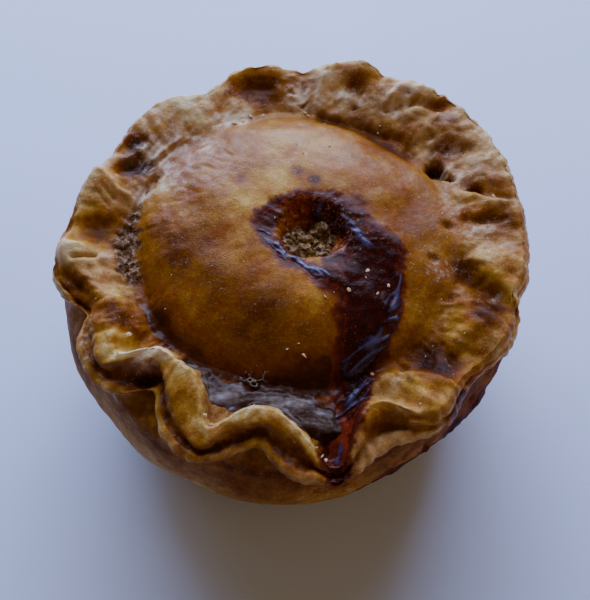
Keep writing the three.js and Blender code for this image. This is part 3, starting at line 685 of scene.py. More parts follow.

# from pale, 0, to nearly black, 1: uneven browning, with painted shade darker in hollows and creases and
# painted highlight paler on the beads
bake_and_shading = BAKED - 0.04 * on_rim
bake_and_shading += (1 - 0.45 * on_lid) * waves(base, (0.08, 9, 41), (0.09, 4, 42), (0.09, 1.8, 43))
bake_and_shading += 0.12 * np.clip(-form, -0.8, 2) + 0.12 * np.clip(-detail, -1, 1.4)
bake_and_shading -= bead * mix(0.1, 0.25, folded) * (1 - 0.6 * ear)
bake_and_shading += folded * on_rim * waves(base, (0.12, 2.4, 45), (0.1, 1.1, 46))
# painted shade in the scoop under the crest of the folded rim, and paler at the lip
bake_and_shading += scoop * 0.3 * folded - lip * 0.14 * (1 - on_wall)
# the moat at the back is darker, partly deep brown and partly painted shade under the dome's edge; the
# patches add browning, painted shade and painted highlight
bake_and_shading += 0.25 * moat_line + spots(x, y, BAKE_AND_SHADE_PATCHES) * (zone > 1.9)
# the wall is darker under the rim, painted shade under its overhang, and at the right and at the back, and
# paler half way up, painted light thrown up from the floor, and at the front left
bake_and_shading += on_wall * (0.16 * past(z, 24, 8) - 0.18 * hump(z - 14, 12))
for stretch, darker in ((BROWN_WALL, 0.1), (BACK_WALL, 0.1), (PALE_WALL, -0.1)):
    bake_and_shading += on_wall * darker * between(azimuth, *stretch)
bake_and_shading += on_wall * 0.1 * noise(base * (0.5, 0.5, 1.6), 3, 44)
# the torn hole is darker inside, painted shade in its depth, and has a pale edge
bake_and_shading += 0.34 * past(tear, 0.6, 1.2) - 0.3 * hump(tear - 0.3, 0.3) * (tear > 0.02)

# floury, in streaks
streak = np.stack([x - y, (x + y) * 0.35, z], -1)
flour_and_sheen = spots(x, y, FLOUR_AND_SHEEN) * (zone > 1.5) * (1 + waves(streak, (1.4, 1.8, 32), (0.9, 0.8, 35)))
flour_and_sheen = np.clip(flour_and_sheen, 0, 1)

# amber under the glaze: the lid, the wall's right, and the hollows of the rim
amber = on_lid + 0.2 * on_rim + 0.75 * on_wall * between(azimuth, *AMBER_WALL)
amber += folded * (0.4 * on_rim + 0.4 * scoop) + spots(x, y, AMBER) * on_rim
amber += on_rim * (0.7 * np.clip(-form, 0, 1.4) + 0.5 * np.clip(-detail, 0, 1))
amber = np.clip(amber + 0.25 * noise(base, 3, 34), 0, 1)
amber = np.maximum(amber, ease(tear / 1.5))

# how much of the daylight the crust throws back: most at the back, least in
# its hollows and in the moat
sheen = mix(0.25, 1, past(y, -4, 22)) * (1 - 0.8 * np.clip(-form, 0, 1)) * (1 - 0.8 * moat_line)
sheen += 0.5 * bead * folded + spots(x, y, SHEEN)
sheen = np.clip(sheen + 0.3 * noise(base, 3, 36), 0, 2) * (1 - on_wall)

# ---- fine relief -----------------------------------------------------------

# the broad unevenness of the lid, the rim and the wall
relief = on_lid * waves(base, (0.3, 7, 51), (0.15, 3, 52), (0.06, 1.3, 53))
relief += on_rim * waves(base, (0.26, 5, 54), (0.24, 2.3, 55), (0.12, 1.1, 56))
relief += on_wall * waves(base, (0.34, 8, 57), (0.2, 3, 58), (0.1, 1.2, 59)) * ease(z / 3)

# nicks in the wall's right, darker inside, and lumps of baked juice on it
nicks = np.maximum(0, noise(base * (1, 1, 1.8), 2.4, 61) - 0.2)
nicks = nicks * between(azimuth, *NICKED_WALL) * on_wall * ease(z / 8)
bake_and_shading += 0.5 * nicks
relief += on_wall * stain_and_shade * waves(base, (0.3, 1.5, 60), (0.3, 2.6, 49)) - 2.2 * nicks

# creases of the rim, in places stretched so that they run out from the axis
spoke = np.stack([
    SPOKE_CIRCLE * np.cos(azimuth * DEG), SPOKE_CIRCLE * np.sin(azimuth * DEG), radius * SPOKE_STRETCH], -1)
relief -= on_rim * (0.26 * creases(spoke, 3.6, 68) + 0.14 * creases(spoke, 1.7, 69)) * (1 - 0.6 * folded)
relief += on_rim * 0.2 * noise(spoke, 1.4, 70)
relief += on_rim * folded * (0.12 * noise(base, 1.4, 47) - 0.16 * creases(base, 2.6, 48, 0.14))

# the rough upper left of the lid, and the blistered, pitted right of the rim
rough = between(azimuth, *ROUGH_LID) * past(radius, 12, 10) * on_lid
relief += rough * (0.16 * noise(base * (0.6, 0.6, 1), 1, 76) - 0.16 * creases(base, 3, 77))
blistered = between(azimuth, *BLISTERED_RIM) * on_rim
relief += blistered * (0.13 * noise(base, 0.95, 78) - 0.1 * creases(base, 1.8, 79))
pits = np.maximum(0, noise(base, 1.5, 62) - 0.42) * between(azimuth, *PITTED_RIM) * on_rim
relief -= 1.6 * pits

# crumbs of the dry strip, set juice on the lid, and the torn inside of the hole
relief += dry * waves(base, (0.5, 1.5, 63), (0.5, 0.9, 64))
relief += stain_and_shade * on_lid * 0.12 * noise(base, 1.4, 65)
relief += hole * waves(base, (0.6, 1.9, 66), (0.5, 0.85, 67))

fine = base + normal * (relief * past(zone, 0.02, 0.1))[:, None]
fine[:, 2] += detail - tear
fine[zone == 0, 2] = 0

# ---- meshes ----------------------------------------------------------------


def put(name, data):
    """an object of the scene that holds a mesh, light or camera"""
    ob = bpy.data.objects.new(name, data)
    bpy.context.scene.collection.objects.link(ob)
    return ob


def make_object(name, points, faces, attributes=None, smooth=True):
    """a mesh from points in mm, the corners of its faces, and values at its points"""
    mesh = bpy.data.meshes.new(name)
    mesh.vertices.add(len(points))
    mesh.vertices.foreach_set("co", (np.asarray(points) * MM).astype(np.float32).ravel())
    sizes = np.array([len(face) for face in faces])
    corners = np.concatenate(faces)
    mesh.loops.add(len(corners))
    mesh.loops.foreach_set("vertex_index", corners.astype(np.int32))
    mesh.polygons.add(len(sizes))
    mesh.polygons.foreach_set("loop_start", (np.cumsum(sizes) - sizes).astype(np.int32))
    mesh.polygons.foreach_set("use_smooth", np.full(len(sizes), smooth))
    for key, values in (attributes or {}).items():
        layer = mesh.attributes.new(key, "FLOAT", "POINT")
        layer.data.foreach_set("value", np.asarray(values, dtype=np.float32))
    mesh.update(calc_edges=True)
    mesh.validate()
    return put(name, mesh)


def grid_quads(count, rings):
    """faces of a grid of `count` columns that goes once round"""
    c, i = np.meshgrid(np.arange(count), np.arange(rings - 1), indexing="ij")
    here, there = c * rings + i, (c + 1) % count * rings + i
    return np.stack([here, there, there + 1, here + 1], -1).reshape(-1, 4)


def closed_grid(points, count, rings, first_middle, last_middle):
    """points and faces of a grid that goes once round, closed by a fan at both ends"""
    first, last = len(points), len(points) + 1
    start = np.arange(count) * rings
    pairs = list(zip(start, np.roll(start, -1)))
    faces = list(grid_quads(count, rings))
    faces += [(first, b, a) for a, b in pairs]
    faces += [(last, a + rings - 1, b + rings - 1) for a, b in pairs]
    return np.concatenate([points, [first_middle, last_middle]]), faces


# the masks that the pastry's finish is mixed by
crust_masks = {
    "bake_and_shading": bake_and_shading, "stain_and_shade": stain_and_shade, "soak_and_shade": soak_and_shade, "dry": dry, "flour_and_sheen": flour_and_sheen,
    "amber": amber, "glaze": 1 - on_wall, "pit": hole, "sheen": sheen,
}


def make_crust():
    """the fine crust, closed by the middles of its foot and of the hole's floor"""
    hole_floor = (HOLE_X, HOLE_Y, fine[rings - 1::rings, 2].mean())
    points, faces = closed_grid(fine, AROUND, rings, (0, 0, 0), hole_floor)
    ends = [0, rings - 1]
    masks = {key: np.concatenate([mask, mask[ends]]) for key, mask in crust_masks.items()}
    return make_object("pie_crust", points, faces, masks)


# the films lie on a grid with more rings than the crust has
skin_from, skin_to = np.searchsorted(ring_zone, SKIN_ZONES)


def finer(values):
    """values at the crust's points, on the grid of the films"""
    part = values.reshape(shape + (-1,))[:, skin_from:skin_to]
    steps = [mix(part[:, :-1], part[:, 1:], s / SKIN_STEPS) for s in range(SKIN_STEPS)]
    return np.stack(steps, 2).reshape(-1, part.shape[2]).squeeze()


skin, skin_base, skin_normal, skin_zone = finer(fine), finer(base), finer(normal), finer(zone)
skin_x, skin_y = skin_base[:, 0], skin_base[:, 1]
skin_quads = grid_quads(AROUND, (skin_to - skin_from - 1) * SKIN_STEPS)


def make_film(name, where, top, bottom, attributes):
    """a closed skin over some quads of the films' grid, walled round its border"""
    used, quads = np.unique(skin_quads[where], return_inverse=True)
    quads = quads.reshape(-1, 4)
    under = len(used)
    edges = np.concatenate([quads[:, [k, (k + 1) % 4]] for k in range(4)])
    known = set(map(tuple, edges))
    border = np.array([edge for edge in edges if (edge[1], edge[0]) not in known])
    walls = np.stack([border[:, 0], border[:, 0] + under, border[:, 1] + under, border[:, 1]], -1)
    return make_object(
        name, np.concatenate([top[used], bottom[used]]),
        np.concatenate([quads, quads[:, ::-1] + under, walls]),
        {key: np.tile(values[used], 2) for key, values in attributes.items()})


# where the juice's skin has wrinkled in drying: points, half width, height
FOLDS = (
    (((17.7, -7.4), (17.6, -9.9), (15.8, -12.3)), 1, 0.3),
    (((17.6, -13.8), (15.6, -16.8), (13, -18.6), (9.4, -21.8)), 1.5, 0.4),
    (((12.3, -24), (8.8, -27.6), (5, -31.4)), 1.2, 0.35),
    (((-4.8, 1.3), (-2.2, -2.7), (1.4, -5.8), (5.5, -7.1)), 1.1, 0.2),
    (((5, 5.6), (9.4, 2), (12.6, -1.8)), 0.8, 0.1), (((7.4, -34), (6.6, -37)), 0.8, 0.2),
)
# where the film is thin and the juice shows red: x, y, radius, amount
THIN = ((7.6, -31.8, 3.5, 0.2), (1.4, 5.6, 2.4, 0.2), (11.8, 0.6, 1.6, 0.08))
# how far in from its ragged outline the film rises out of the crust, its rise per mm,
# its least and greatest height there, and the least that is kept
JUICE_EDGE, JUICE_SLOPE, JUICE_LEAST, JUICE_MOST, JUICE_FROM = 0.7, 0.08, -0.3, 0.1, -0.06
# how deep in the crust the film's edge and its underside lie
JUICE_SUNK, JUICE_UNDER = 0.2, 0.4


def make_juice():
    """the juice: a film that thins out into the crust"""
    depth = juice_depth(skin_base)
    thick = np.clip((depth - JUICE_EDGE) * JUICE_SLOPE, JUICE_LEAST, JUICE_MOST)
    thick += 0.035 * noise(skin_base, 1, 71) + 0.04 * noise(skin_base * (1.6, 1, 1), 2.4, 72)
    folds = np.zeros(len(depth))
    for chain, wide, up in FOLDS:
        dx, dy = chain[-1][0] - chain[0][0], chain[-1][1] - chain[0][1]
        along = (skin_x * dx + skin_y * dy) / math.hypot(dx, dy)
        across = (skin_y * dx - skin_x * dy) / math.hypot(dx, dy)
        lines = creases(np.stack([along * 0.3, across, 0 * along], -1), 1.2, 74, 0.34)
        off_line = -capsules(skin_x, skin_y, [(px, py, 0) for px, py in chain])
        fold = hump(off_line, wide) * lines * ease(depth + 0.4)
        thick += up * fold
        folds = np.maximum(folds, fold)
    thick = np.where(skin_zone < INSIDE_HOLE, thick, -JUICE_UNDER) - 0.5 * finer(ease(tear))
    return make_film(
        "juice_film", thick[skin_quads].max(1) > JUICE_FROM,
        skin + skin_normal * np.maximum(thick, -JUICE_SUNK)[:, None], skin - skin_normal * JUICE_UNDER,
        {"thick": thick - spots(skin_x, skin_y, THIN), "fold": folds,
         "crumbly": hump(from_hole(skin_x, skin_y), 5.2)})


JELLY_LEVEL = 37.4
# least thickness, and how deep its edge and its underside lie in the crust
JELLY_LEAST, JELLY_SUNK, JELLY_UNDER = 0.06, 0.08, 0.5
# burst bubbles: x, y, radius
BUBBLES = (
    (-7.4, -22.6, 0.7), (-5.4, -22.3, 1), (-5.9, -23.9, 0.5), (-3.8, -22.9, 0.6), (-6.6, -23.2, 0.35),
)
BUBBLE_EDGE, BUBBLE_UP = 0.15, 0.25
# the depth inside the jelly that marks a bubble's edge, far above any real one
BURST = 5
# cloudier places, paler and bluer, partly painted reflection of the sky: x, y, radius, amount
CLOUDS_AND_SKY_SHEEN = (
    (-10.4, -27.6, 2.6, 0.5), (-10.5, -29.8, 2, 0.4), (-14.5, -22.6, 2.4, 0.4), (-5.4, -27.9, 2, -0.12),
    (1, -28, 2.6, 0.12),
)


def make_jelly():
    """the jelly: a nearly level skin in the front moat, wrinkled beside the rim"""
    lie = capsules(skin_x, skin_y, JELLY) + waves(skin_base, (0.7, 2.4, 81), (0.4, 1, 82))
    lie -= 1.2 * np.maximum(0, skin[:, 2] - JELLY_LEVEL - 0.3) * (skin_zone < 3)
    inside_crest = finer(rim.crest - radius)
    beside_rim = past(inside_crest, 0.4, 0.6) * ease((4.6 - inside_crest) / 2)
    wrinkle = 0.05 * np.sin(inside_crest * 5.2 + 2.6 * noise(skin_base, 2, 83)) * beside_rim * ease(lie)
    wrinkle += 0.05 * noise(skin_base * (0.5, 1, 1), 1.6, 84) + 0.02 * noise(skin_base, 0.6, 85)
    uneven = 1 + 0.3 * noise(skin_base, 0.9, 86)
    for px, py, r in BUBBLES:
        edge = BUBBLE_EDGE - np.abs(np.hypot(skin_x - px, (skin_y - py) * 1.2) * uneven - r)
        wrinkle += BUBBLE_UP * ease(edge / BUBBLE_EDGE) * ease(0.3 - lie)
        lie = np.where(edge > 0, BURST, lie)
    full = past(lie, -0.3, 2)
    rise = (np.maximum(JELLY_LEVEL - skin[:, 2], JELLY_LEAST) + wrinkle) * full
    rise -= JELLY_SUNK * (1 - full) ** 4
    in_moat = (skin_zone > 2.02) & (lie > -0.5)
    return make_film(
        "jelly_skin", in_moat[skin_quads].all(1),
        skin + rise[:, None] * (0, 0, 1), skin - skin_normal * JELLY_UNDER,
        {"lie": lie, "cloud_and_sheen": spots(skin_x, skin_y, CLOUDS_AND_SKY_SHEEN)})


# larger crumbs, given one by one: x, y, size
PLACED_CRUMBS = (
    (-27.4, -24.2, 0.9), (9.1, -10, 0.7), (2, -20.6, 0.9), (-0.6, -19.6, 0.5), (13, -22.2, 0.7),
    (1.2, -18.9, 0.4), (-26.1, -16.5, 1), (4, -37.2, 0.8), (5.4, -36.8, 0.7), (1.4, -37.4, 0.6),
    (-13.3, -30.4, 0.9), (-12.1, -32.8, 0.9), (15.6, -8.7, 0.6), (13.9, -10.5, 0.6), (12.4, -6.5, 0.7),
    (5.4, -11.6, 0.6), (3.1, 29.4, 1), (2.2, 30.2, 0.8), (1.6, 28.9, 0.6), (15.4, 26, 0.6),
    (16.2, 26.6, 0.5), (-7.4, 28.6, 0.8), (-8.6, 27.6, 0.7), (-5, 28.9, 0.6), (-10.4, 27, 0.9),
    (6.6, 18.9, 0.5), (2, 16.5, 0.5), (0.9, 18.7, 0.4), (34.6, 9.4, 0.9), (25.6, 14.4, 0.7),
)
# all crumbs, how far from the axis the small ones are scattered, and their sizes
CRUMBS, SCATTER_RADIUS, LEAST_CRUMB, MOST_CRUMB = 110, 36, 0.15, 0.36
# a chip's radius and height over the crust for its size, and its height on the juice
CHIP_SIZE, CHIP_LIFT, ON_JUICE = 0.6, 0.12, 0.1
# the ball of twelve corners that a chip is made from, before it is brought to about 1
BALL_RADIUS, BALL_SIDE = 1.9, 1.1


def chip_ball():
    """the twelve corners and the triangles of a regular ball"""
    golden = (1 + 5 ** 0.5) / 2
    corners = [(0, a, b * golden) for a in (-1, 1) for b in (-1, 1)]
    corners += [(b, c, a) for a, b, c in corners] + [(c, a, b) for a, b, c in corners]
    corners = np.array(corners) / BALL_RADIUS
    sides = []
    for side in itertools.combinations(range(len(corners)), 3):
        a, b, c = corners[list(side)]
        if max(np.linalg.norm(a - b), np.linalg.norm(b - c), np.linalg.norm(a - c)) < BALL_SIDE:
            sides.append(side if np.dot(np.cross(b - a, c - a), a) > 0 else side[::-1])
    return corners, np.array(sides)


def make_crumbs():
    """the crumbs: chips of pastry lying on the lid and the rim"""
    random = np.random.default_rng(7)
    places = list(PLACED_CRUMBS)
    while len(places) < CRUMBS:
        a, r = random.uniform(0, 2 * math.pi), SCATTER_RADIUS * math.sqrt(random.uniform(0.01, 1))
        places.append((r * math.cos(a), r * math.sin(a), random.uniform(LEAST_CRUMB, MOST_CRUMB)))
    corners, sides = chip_ball()
    lid_top = np.flatnonzero((zone > 2.05) & (zone < INSIDE_HOLE))
    chips, chip_sides = [], []
    for cx, cy, size in places:
        at = lid_top[np.argmin((x[lid_top] - cx) ** 2 + (y[lid_top] - cy) ** 2)]
        jagged = random.uniform(0.5, 1.4, corners.shape)
        flattened = (1, random.uniform(0.4, 0.8), random.uniform(0.25, 0.5))
        spin = random.uniform(0, 2 * math.pi)
        cos, sin = math.cos(spin), math.sin(spin)
        chip = corners * jagged * flattened * size * CHIP_SIZE
        chip = chip @ np.array([(cos, sin, 0), (-sin, cos, 0), (0, 0, 1)])
        chip_sides.append(sides + len(corners) * len(chips))
        chips.append(chip + fine[at] + normal[at] * size * CHIP_LIFT + (0, 0, ON_JUICE * stain_and_shade[at]))
    return make_object("crumbs", np.concatenate(chips), np.concatenate(chip_sides), smooth=False)


PLUG_AT, PLUG_HALF = (2.3, 0.2, 40.75), (1.7, 1.36, 2.1)
PLUG_TURNS, PLUG_LEVELS = 60, 40


def make_plug():
    """the plug: a craggy lump of set filling standing in the steam hole"""
    dips = np.arange(1, PLUG_LEVELS) / PLUG_LEVELS * math.pi
    turn, dip = np.meshgrid(full_turn(PLUG_TURNS), dips, indexing="ij")
    ball = np.stack([np.cos(turn) * np.sin(dip), np.sin(turn) * np.sin(dip), -np.cos(dip)], -1)
    ball, faces = closed_grid(ball.reshape(-1, 3), PLUG_TURNS, len(dips), (0, 0, -1), (0, 0, 1))
    crags = 1 + waves(ball * PLUG_HALF + PLUG_AT, (0.2, 1.9, 91), (0.06, 0.8, 92), (0.03, 0.35, 93))
    return make_object("plug", ball * crags[:, None] * PLUG_HALF + PLUG_AT, faces)


MAT_X, MAT_Y, MAT_WIDE, MAT_DEEP, MAT_TOP, MAT_SLOPE, MAT_FOOT = 4.0, 0.2, 7.2, 5.4, 42.8, 0.24, 37.6
# x, y, radius, depth
MAT_HOLLOWS = (
    (4.7, 0.7, 0.9, 1.8), (8.4, 2.4, 1.4, 1.2), (2.6, 3.6, 1.8, 1.6), (-1.6, 2.2, 1, 0.9),
)
MAT_TURNS, MAT_RINGS = 160, 56
# the part of the way in over which the mat rises from its edge, and how far
MAT_EDGE, MAT_RISE = 0.3, 1.4


def make_filling_bits():
    """the filling round the plug: a craggy mat on the hole's floor"""
    turn, part = np.meshgrid(full_turn(MAT_TURNS), np.arange(MAT_RINGS) / MAT_RINGS, indexing="ij")
    mat_x = (MAT_X + MAT_WIDE * (1 - part) * np.cos(turn)).ravel()
    mat_y = (MAT_Y + MAT_DEEP * (1 - part) * np.sin(turn)).ravel()
    part = part.ravel()
    spot = from_above(mat_x, mat_y)
    mat_z = MAT_TOP - MAT_SLOPE * (mat_y - MAT_Y) - spots(mat_x, mat_y, MAT_HOLLOWS)
    mat_z += waves(spot, (1.1, 2.6, 94), (0.5, 1.3, 95), (0.08, 0.5, 96))
    mat_z -= 1.1 * creases(spot * (1, 0.6, 1), 2.6, 97, 0.3) + 0.3 * creases(spot, 1.1, 98, 0.3)
    mat_z = np.where(part == 0, MAT_FOOT, mat_z) - MAT_RISE * (1 - ease(part / MAT_EDGE))
    middle = mat_z[MAT_RINGS - 1::MAT_RINGS].mean()
    points, faces = closed_grid(
        np.stack([mat_x, mat_y, mat_z], -1), MAT_TURNS, MAT_RINGS,
        (MAT_X, MAT_Y, MAT_FOOT), (MAT_X, MAT_Y, middle))
    return make_object("filling_bits", points, faces)


# ---- materials -------------------------------------------------------------


def srgb(code):
    """linear colour of an sRGB hex code"""
    parts = [int(code[i:i + 2], 16) / 255 for i in (1, 3, 5)]
    return tuple(c / 12.92 if c <= 0.04045 else ((c + 0.055) / 1.055) ** 2.4 for c in parts) + (1.0,)


def connect(tree, node, inputs):
    """gives a node's inputs their values or links, in order or by name or number"""
    for key, value in inputs.items() if isinstance(inputs, dict) else enumerate(inputs):
        if isinstance(value, bpy.types.NodeSocket):
            tree.links.new(value, node.inputs[key])
        else:
            node.inputs[key].default_value = value


def add(tree, kind, inputs=(), out=0, stops=(), **settings):
    """adds a shader node with its inputs, settings and colour stops; gives one of its outputs"""
    node = tree.nodes.new("ShaderNode" + kind)
    for key, value in settings.items():
        setattr(node, key, value)
    connect(tree, node, inputs)
    if stops:
        elements = node.color_ramp.elements
        while len(elements) < len(stops):
            elements.new(1.0)
        for element, (position, code) in zip(elements, stops):
            element.position = position
            element.color = srgb(code)
    return node.outputs[out]


def new_material(name):
    """a material, its nodes, its shader, and places on the piece in mm"""
    material = bpy.data.materials.new(name)
    material.use_nodes = True
    tree = material.node_tree
    place = add(tree, "TexCoord", out="Object")
    place = add(tree, "Mapping", {"Vector": place, "Scale": (1 / MM,) * 3})
    return material, tree, tree.nodes["Principled BSDF"], place


def roughened(tree, mask, *grains):
    """a mask with its edge broken up by grains, each with how much"""
    for grain, amount in grains:
        shift = add(tree, "Math", (grain, 0.5), operation="SUBTRACT")
        mask = add(tree, "Math", (shift, amount, mask), operation="MULTIPLY_ADD")
    return mask


def baked_pastry():
    """hot-water crust pastry, raised by hand, glazed with egg and baked: satin and rich in fat, brown
    unevenly, with painted shade in its hollows and painted highlight on its crests, floury or broken in
    places, the floury places partly painted sheen, dark and wet where juice ran in, which at the dome's
    front is partly painted shade"""
    material, tree, shader, place = new_material("baked_pastry")
    bake_and_shading, stain_and_shade, soak_and_shade, dry, flour_and_sheen, amber, glaze, pit, sheen = (
        add(tree, "Attribute", out="Fac", attribute_name=mask) for mask in crust_masks)
    # blisters of 3 mm, flakes of 0.8 mm, and a tooth of 0.3 mm, coarser than flour so that
    # it shows; then rusty patches, pale specks, and the flecks of broken pastry
    blisters, flakes, tooth, rust, specks, flecks = (
        add(tree, "TexNoise", {"Vector": place, "Scale": 1 / size, "Detail": detail, "Roughness": rough})
        for size, detail, rough in (
            (3, 5, 0.55), (0.8, 4, 0.55), (0.3, 3, 0.55), (4.5, 3, 0.55), (0.45, 2, 0.55), (0.6, 3, 0.7)))

    # browning, which also carries painted shade and painted highlight: amber under the glaze, duller where
    # it is bare, with rusty patches
    browning_and_shading = roughened(tree, bake_and_shading, (blisters, 0.3), (flakes, 0.3), (tooth, 0.3))
    glazed = add(tree, "ValToRGB", (browning_and_shading,), stops=(
        (0, "#DCCA94"), (0.2, "#C2A256"), (0.38, "#A67928"),
        (0.56, "#865214"), (0.76, "#582C08"), (1, "#2E1004")))
    plain = add(tree, "ValToRGB", (browning_and_shading,), stops=(
        (0, "#E2D4B0"), (0.2, "#CEB47E"), (0.38, "#B28C54"),
        (0.56, "#8E6236"), (0.76, "#623818"), (1, "#341808")))
    amber_part = add(tree, "MapRange", (roughened(tree, amber, (flakes, 0.6)), 0.15, 0.85))
    colour = add(tree, "Mix", {0: amber_part, 6: plain, 7: glazed}, out=2, data_type="RGBA")
    rusty = add(tree, "MapRange", (rust, 0.46, 0.66, 0, 0.7))
    colour = add(tree, "Mix", {0: rusty, 6: colour, 7: srgb("#F4CDB4")}, out=2,
                 data_type="RGBA", blend_type="MULTIPLY")

    # flour, partly painted sheen, and specks of it in patches
    flour_and_sheen = roughened(tree, flour_and_sheen, (flakes, 1.1), (tooth, 0.8))
    floury = add(tree, "MapRange", (flour_and_sheen, 0.2, 1))
    patchy = add(tree, "MapRange", (blisters, 0.46, 0.66, 0, 0.7))
    specks = add(tree, "MapRange", (specks, 0.66, 0.73))
    speckled = add(tree, "Math", (specks, patchy), operation="MULTIPLY")
    for cover, code in ((floury, "#D6C2A8"), (speckled, "#CDB68E")):
        colour = add(tree, "Mix", {0: cover, 6: colour, 7: srgb(code)}, out=2, data_type="RGBA")

    # one over the other: broken pastry, damp and drenched pastry, which at the dome's front is partly
    # painted shade, stains, one of them painted shade under a fold, the hole's inside
    broken = add(tree, "MapRange", (roughened(tree, dry, (flakes, 0.8)), 0.2, 0.8))
    soaked_and_shaded = roughened(tree, soak_and_shade, (blisters, 0.4), (flakes, 0.2))
    damp_and_shaded = add(tree, "MapRange", (soaked_and_shaded, 0.08, 0.5), interpolation_type="SMOOTHSTEP")
    drenched_and_shaded = add(tree, "MapRange", (soaked_and_shaded, 0.5, 1), interpolation_type="SMOOTHSTEP")
    juicy_and_shaded = roughened(tree, stain_and_shade, (flakes, 0.5), (blisters, 0.3))
    stained_and_shaded = add(tree, "MapRange", (juicy_and_shaded, 0.05, 0.6), interpolation_type="SMOOTHSTEP")
    pit = roughened(tree, pit, (flakes, 0.6))
    pitted = add(tree, "MapRange", (pit, 0.2, 0.6), interpolation_type="SMOOTHSTEP")
    for cover, grain, stops in (
        (broken, flecks, ((0.36, "#2C160C"), (0.5, "#624028"), (0.66, "#A48A6A"))),
        (damp_and_shaded, flakes, ((0.35, "#6A340C"), (0.65, "#864C12"))),
        (drenched_and_shaded, flakes, ((0.35, "#2E1005"), (0.65, "#4C2009"))),
        (stained_and_shaded, juicy_and_shaded, ((0.15, "#8A4A16"), (0.4, "#682A10"), (0.85, "#3E140A"))),
        (pitted, flakes, ((0.3, "#6A2A10"), (0.55, "#9C5022"), (0.72, "#C08C50"))),
    ):
        over = add(tree, "ValToRGB", (grain,), stops=stops)
        colour = add(tree, "Mix", {0: cover, 6: colour, 7: over}, out=2, data_type="RGBA")

    # satin where glazed, duller on the wall, and wet where juice has soaked in or lies
    wetness = add(tree, "Math", (drenched_and_shaded, stained_and_shaded), operation="MAXIMUM")
    wetness = add(tree, "Math", (wetness, glaze), operation="MULTIPLY")
    satin = add(tree, "Math", (glaze, -0.32, 0.62), operation="MULTIPLY_ADD")
    satin = roughened(tree, satin, (blisters, 0.35))
    height = add(tree, "Math", (flakes, tooth), operation="ADD")
    strength = add(tree, "Math", (amber, -0.4, 0.95), operation="MULTIPLY_ADD")
    connect(tree, shader, {
        "Base Color": colour,
        "Roughness": add(tree, "Mix", {0: wetness, 2: satin, 3: 0.26}, data_type="FLOAT"),
        "Normal": add(tree, "Bump", {"Height": height, "Strength": strength, "Distance": 0.14 * MM}),
        "Coat Weight": add(tree, "Math", (wetness, 0.15), operation="MULTIPLY"),
        "Coat Roughness": 0.15,
        "Specular IOR Level": add(tree, "Math", (sheen, 0.17, 0.06), operation="MULTIPLY_ADD"),
        "IOR": 1.42,
    })
    return material


def meat_juice():
    """meat juice, spilled and dried in the oven: red-brown where thin, nearly black where thick, with a
    gloss like varnish, and on its wrinkles a painted bluish reflection of the sky"""
    material, tree, shader, place = new_material("meat_juice")
    thick, fold, crumbly = (
        add(tree, "Attribute", out="Fac", attribute_name=mask) for mask in ("thick", "fold", "crumbly"))
    # swells of 1.2 mm, ripples of 0.4 mm, and grit of 0.5 mm from the filling
    swells, ripples, grit = (
        add(tree, "TexNoise", {"Vector": place, "Scale": 1 / size, "Detail": detail, "Roughness": rough})
        for size, detail, rough in ((1.2, 4, 0.55), (0.4, 3, 0.55), (0.5, 3, 0.7)))
    depth = roughened(tree, thick, (swells, 0.2), (ripples, 0.2))
    colour = add(tree, "ValToRGB", (add(tree, "MapRange", (depth, -0.08, 0.4)),), stops=(
        (0, "#7A2A12"), (0.25, "#3C120B"), (0.5, "#240A08"), (1, "#220E14")))
    gritty = add(tree, "Math", (crumbly, 0.16, grit), operation="MULTIPLY_ADD")
    gritty = add(tree, "MapRange", (gritty, 0.64, 0.72, 0, 0.6))
    # on the wrinkles, a bluish painted reflection of the sky; the same mask raises their gloss
    fold_gloss_and_painted_reflection = add(tree, "MapRange", (roughened(tree, fold, (ripples, 0.7)), 0.2, 0.9))
    painted_sky_reflection = add(tree, "Math", (fold_gloss_and_painted_reflection, 0.8), operation="MULTIPLY")
    for cover, code in ((gritty, "#9A7048"), (painted_sky_reflection, "#4C4870")):
        colour = add(tree, "Mix", {0: cover, 6: colour, 7: srgb(code)}, out=2, data_type="RGBA")
    height = add(tree, "Math", (ripples, 0.7), operation="MULTIPLY")
    height = add(tree, "Math", (swells, 0.5, height), operation="MULTIPLY_ADD")
    connect(tree, shader, {
        "Base Color": colour,
        "Roughness": add(tree, "MapRange", (swells, 0.35, 0.65, 0.06, 0.24)),
        "Normal": add(tree, "Bump", {"Height": height, "Strength": 0.6, "Distance": 0.2 * MM}),
        "Specular IOR Level": add(tree, "Math", (fold_gloss_and_painted_reflection, 0.4, 0.12), operation="MULTIPLY_ADD"),
        "IOR": 1.38,
    })
    return material


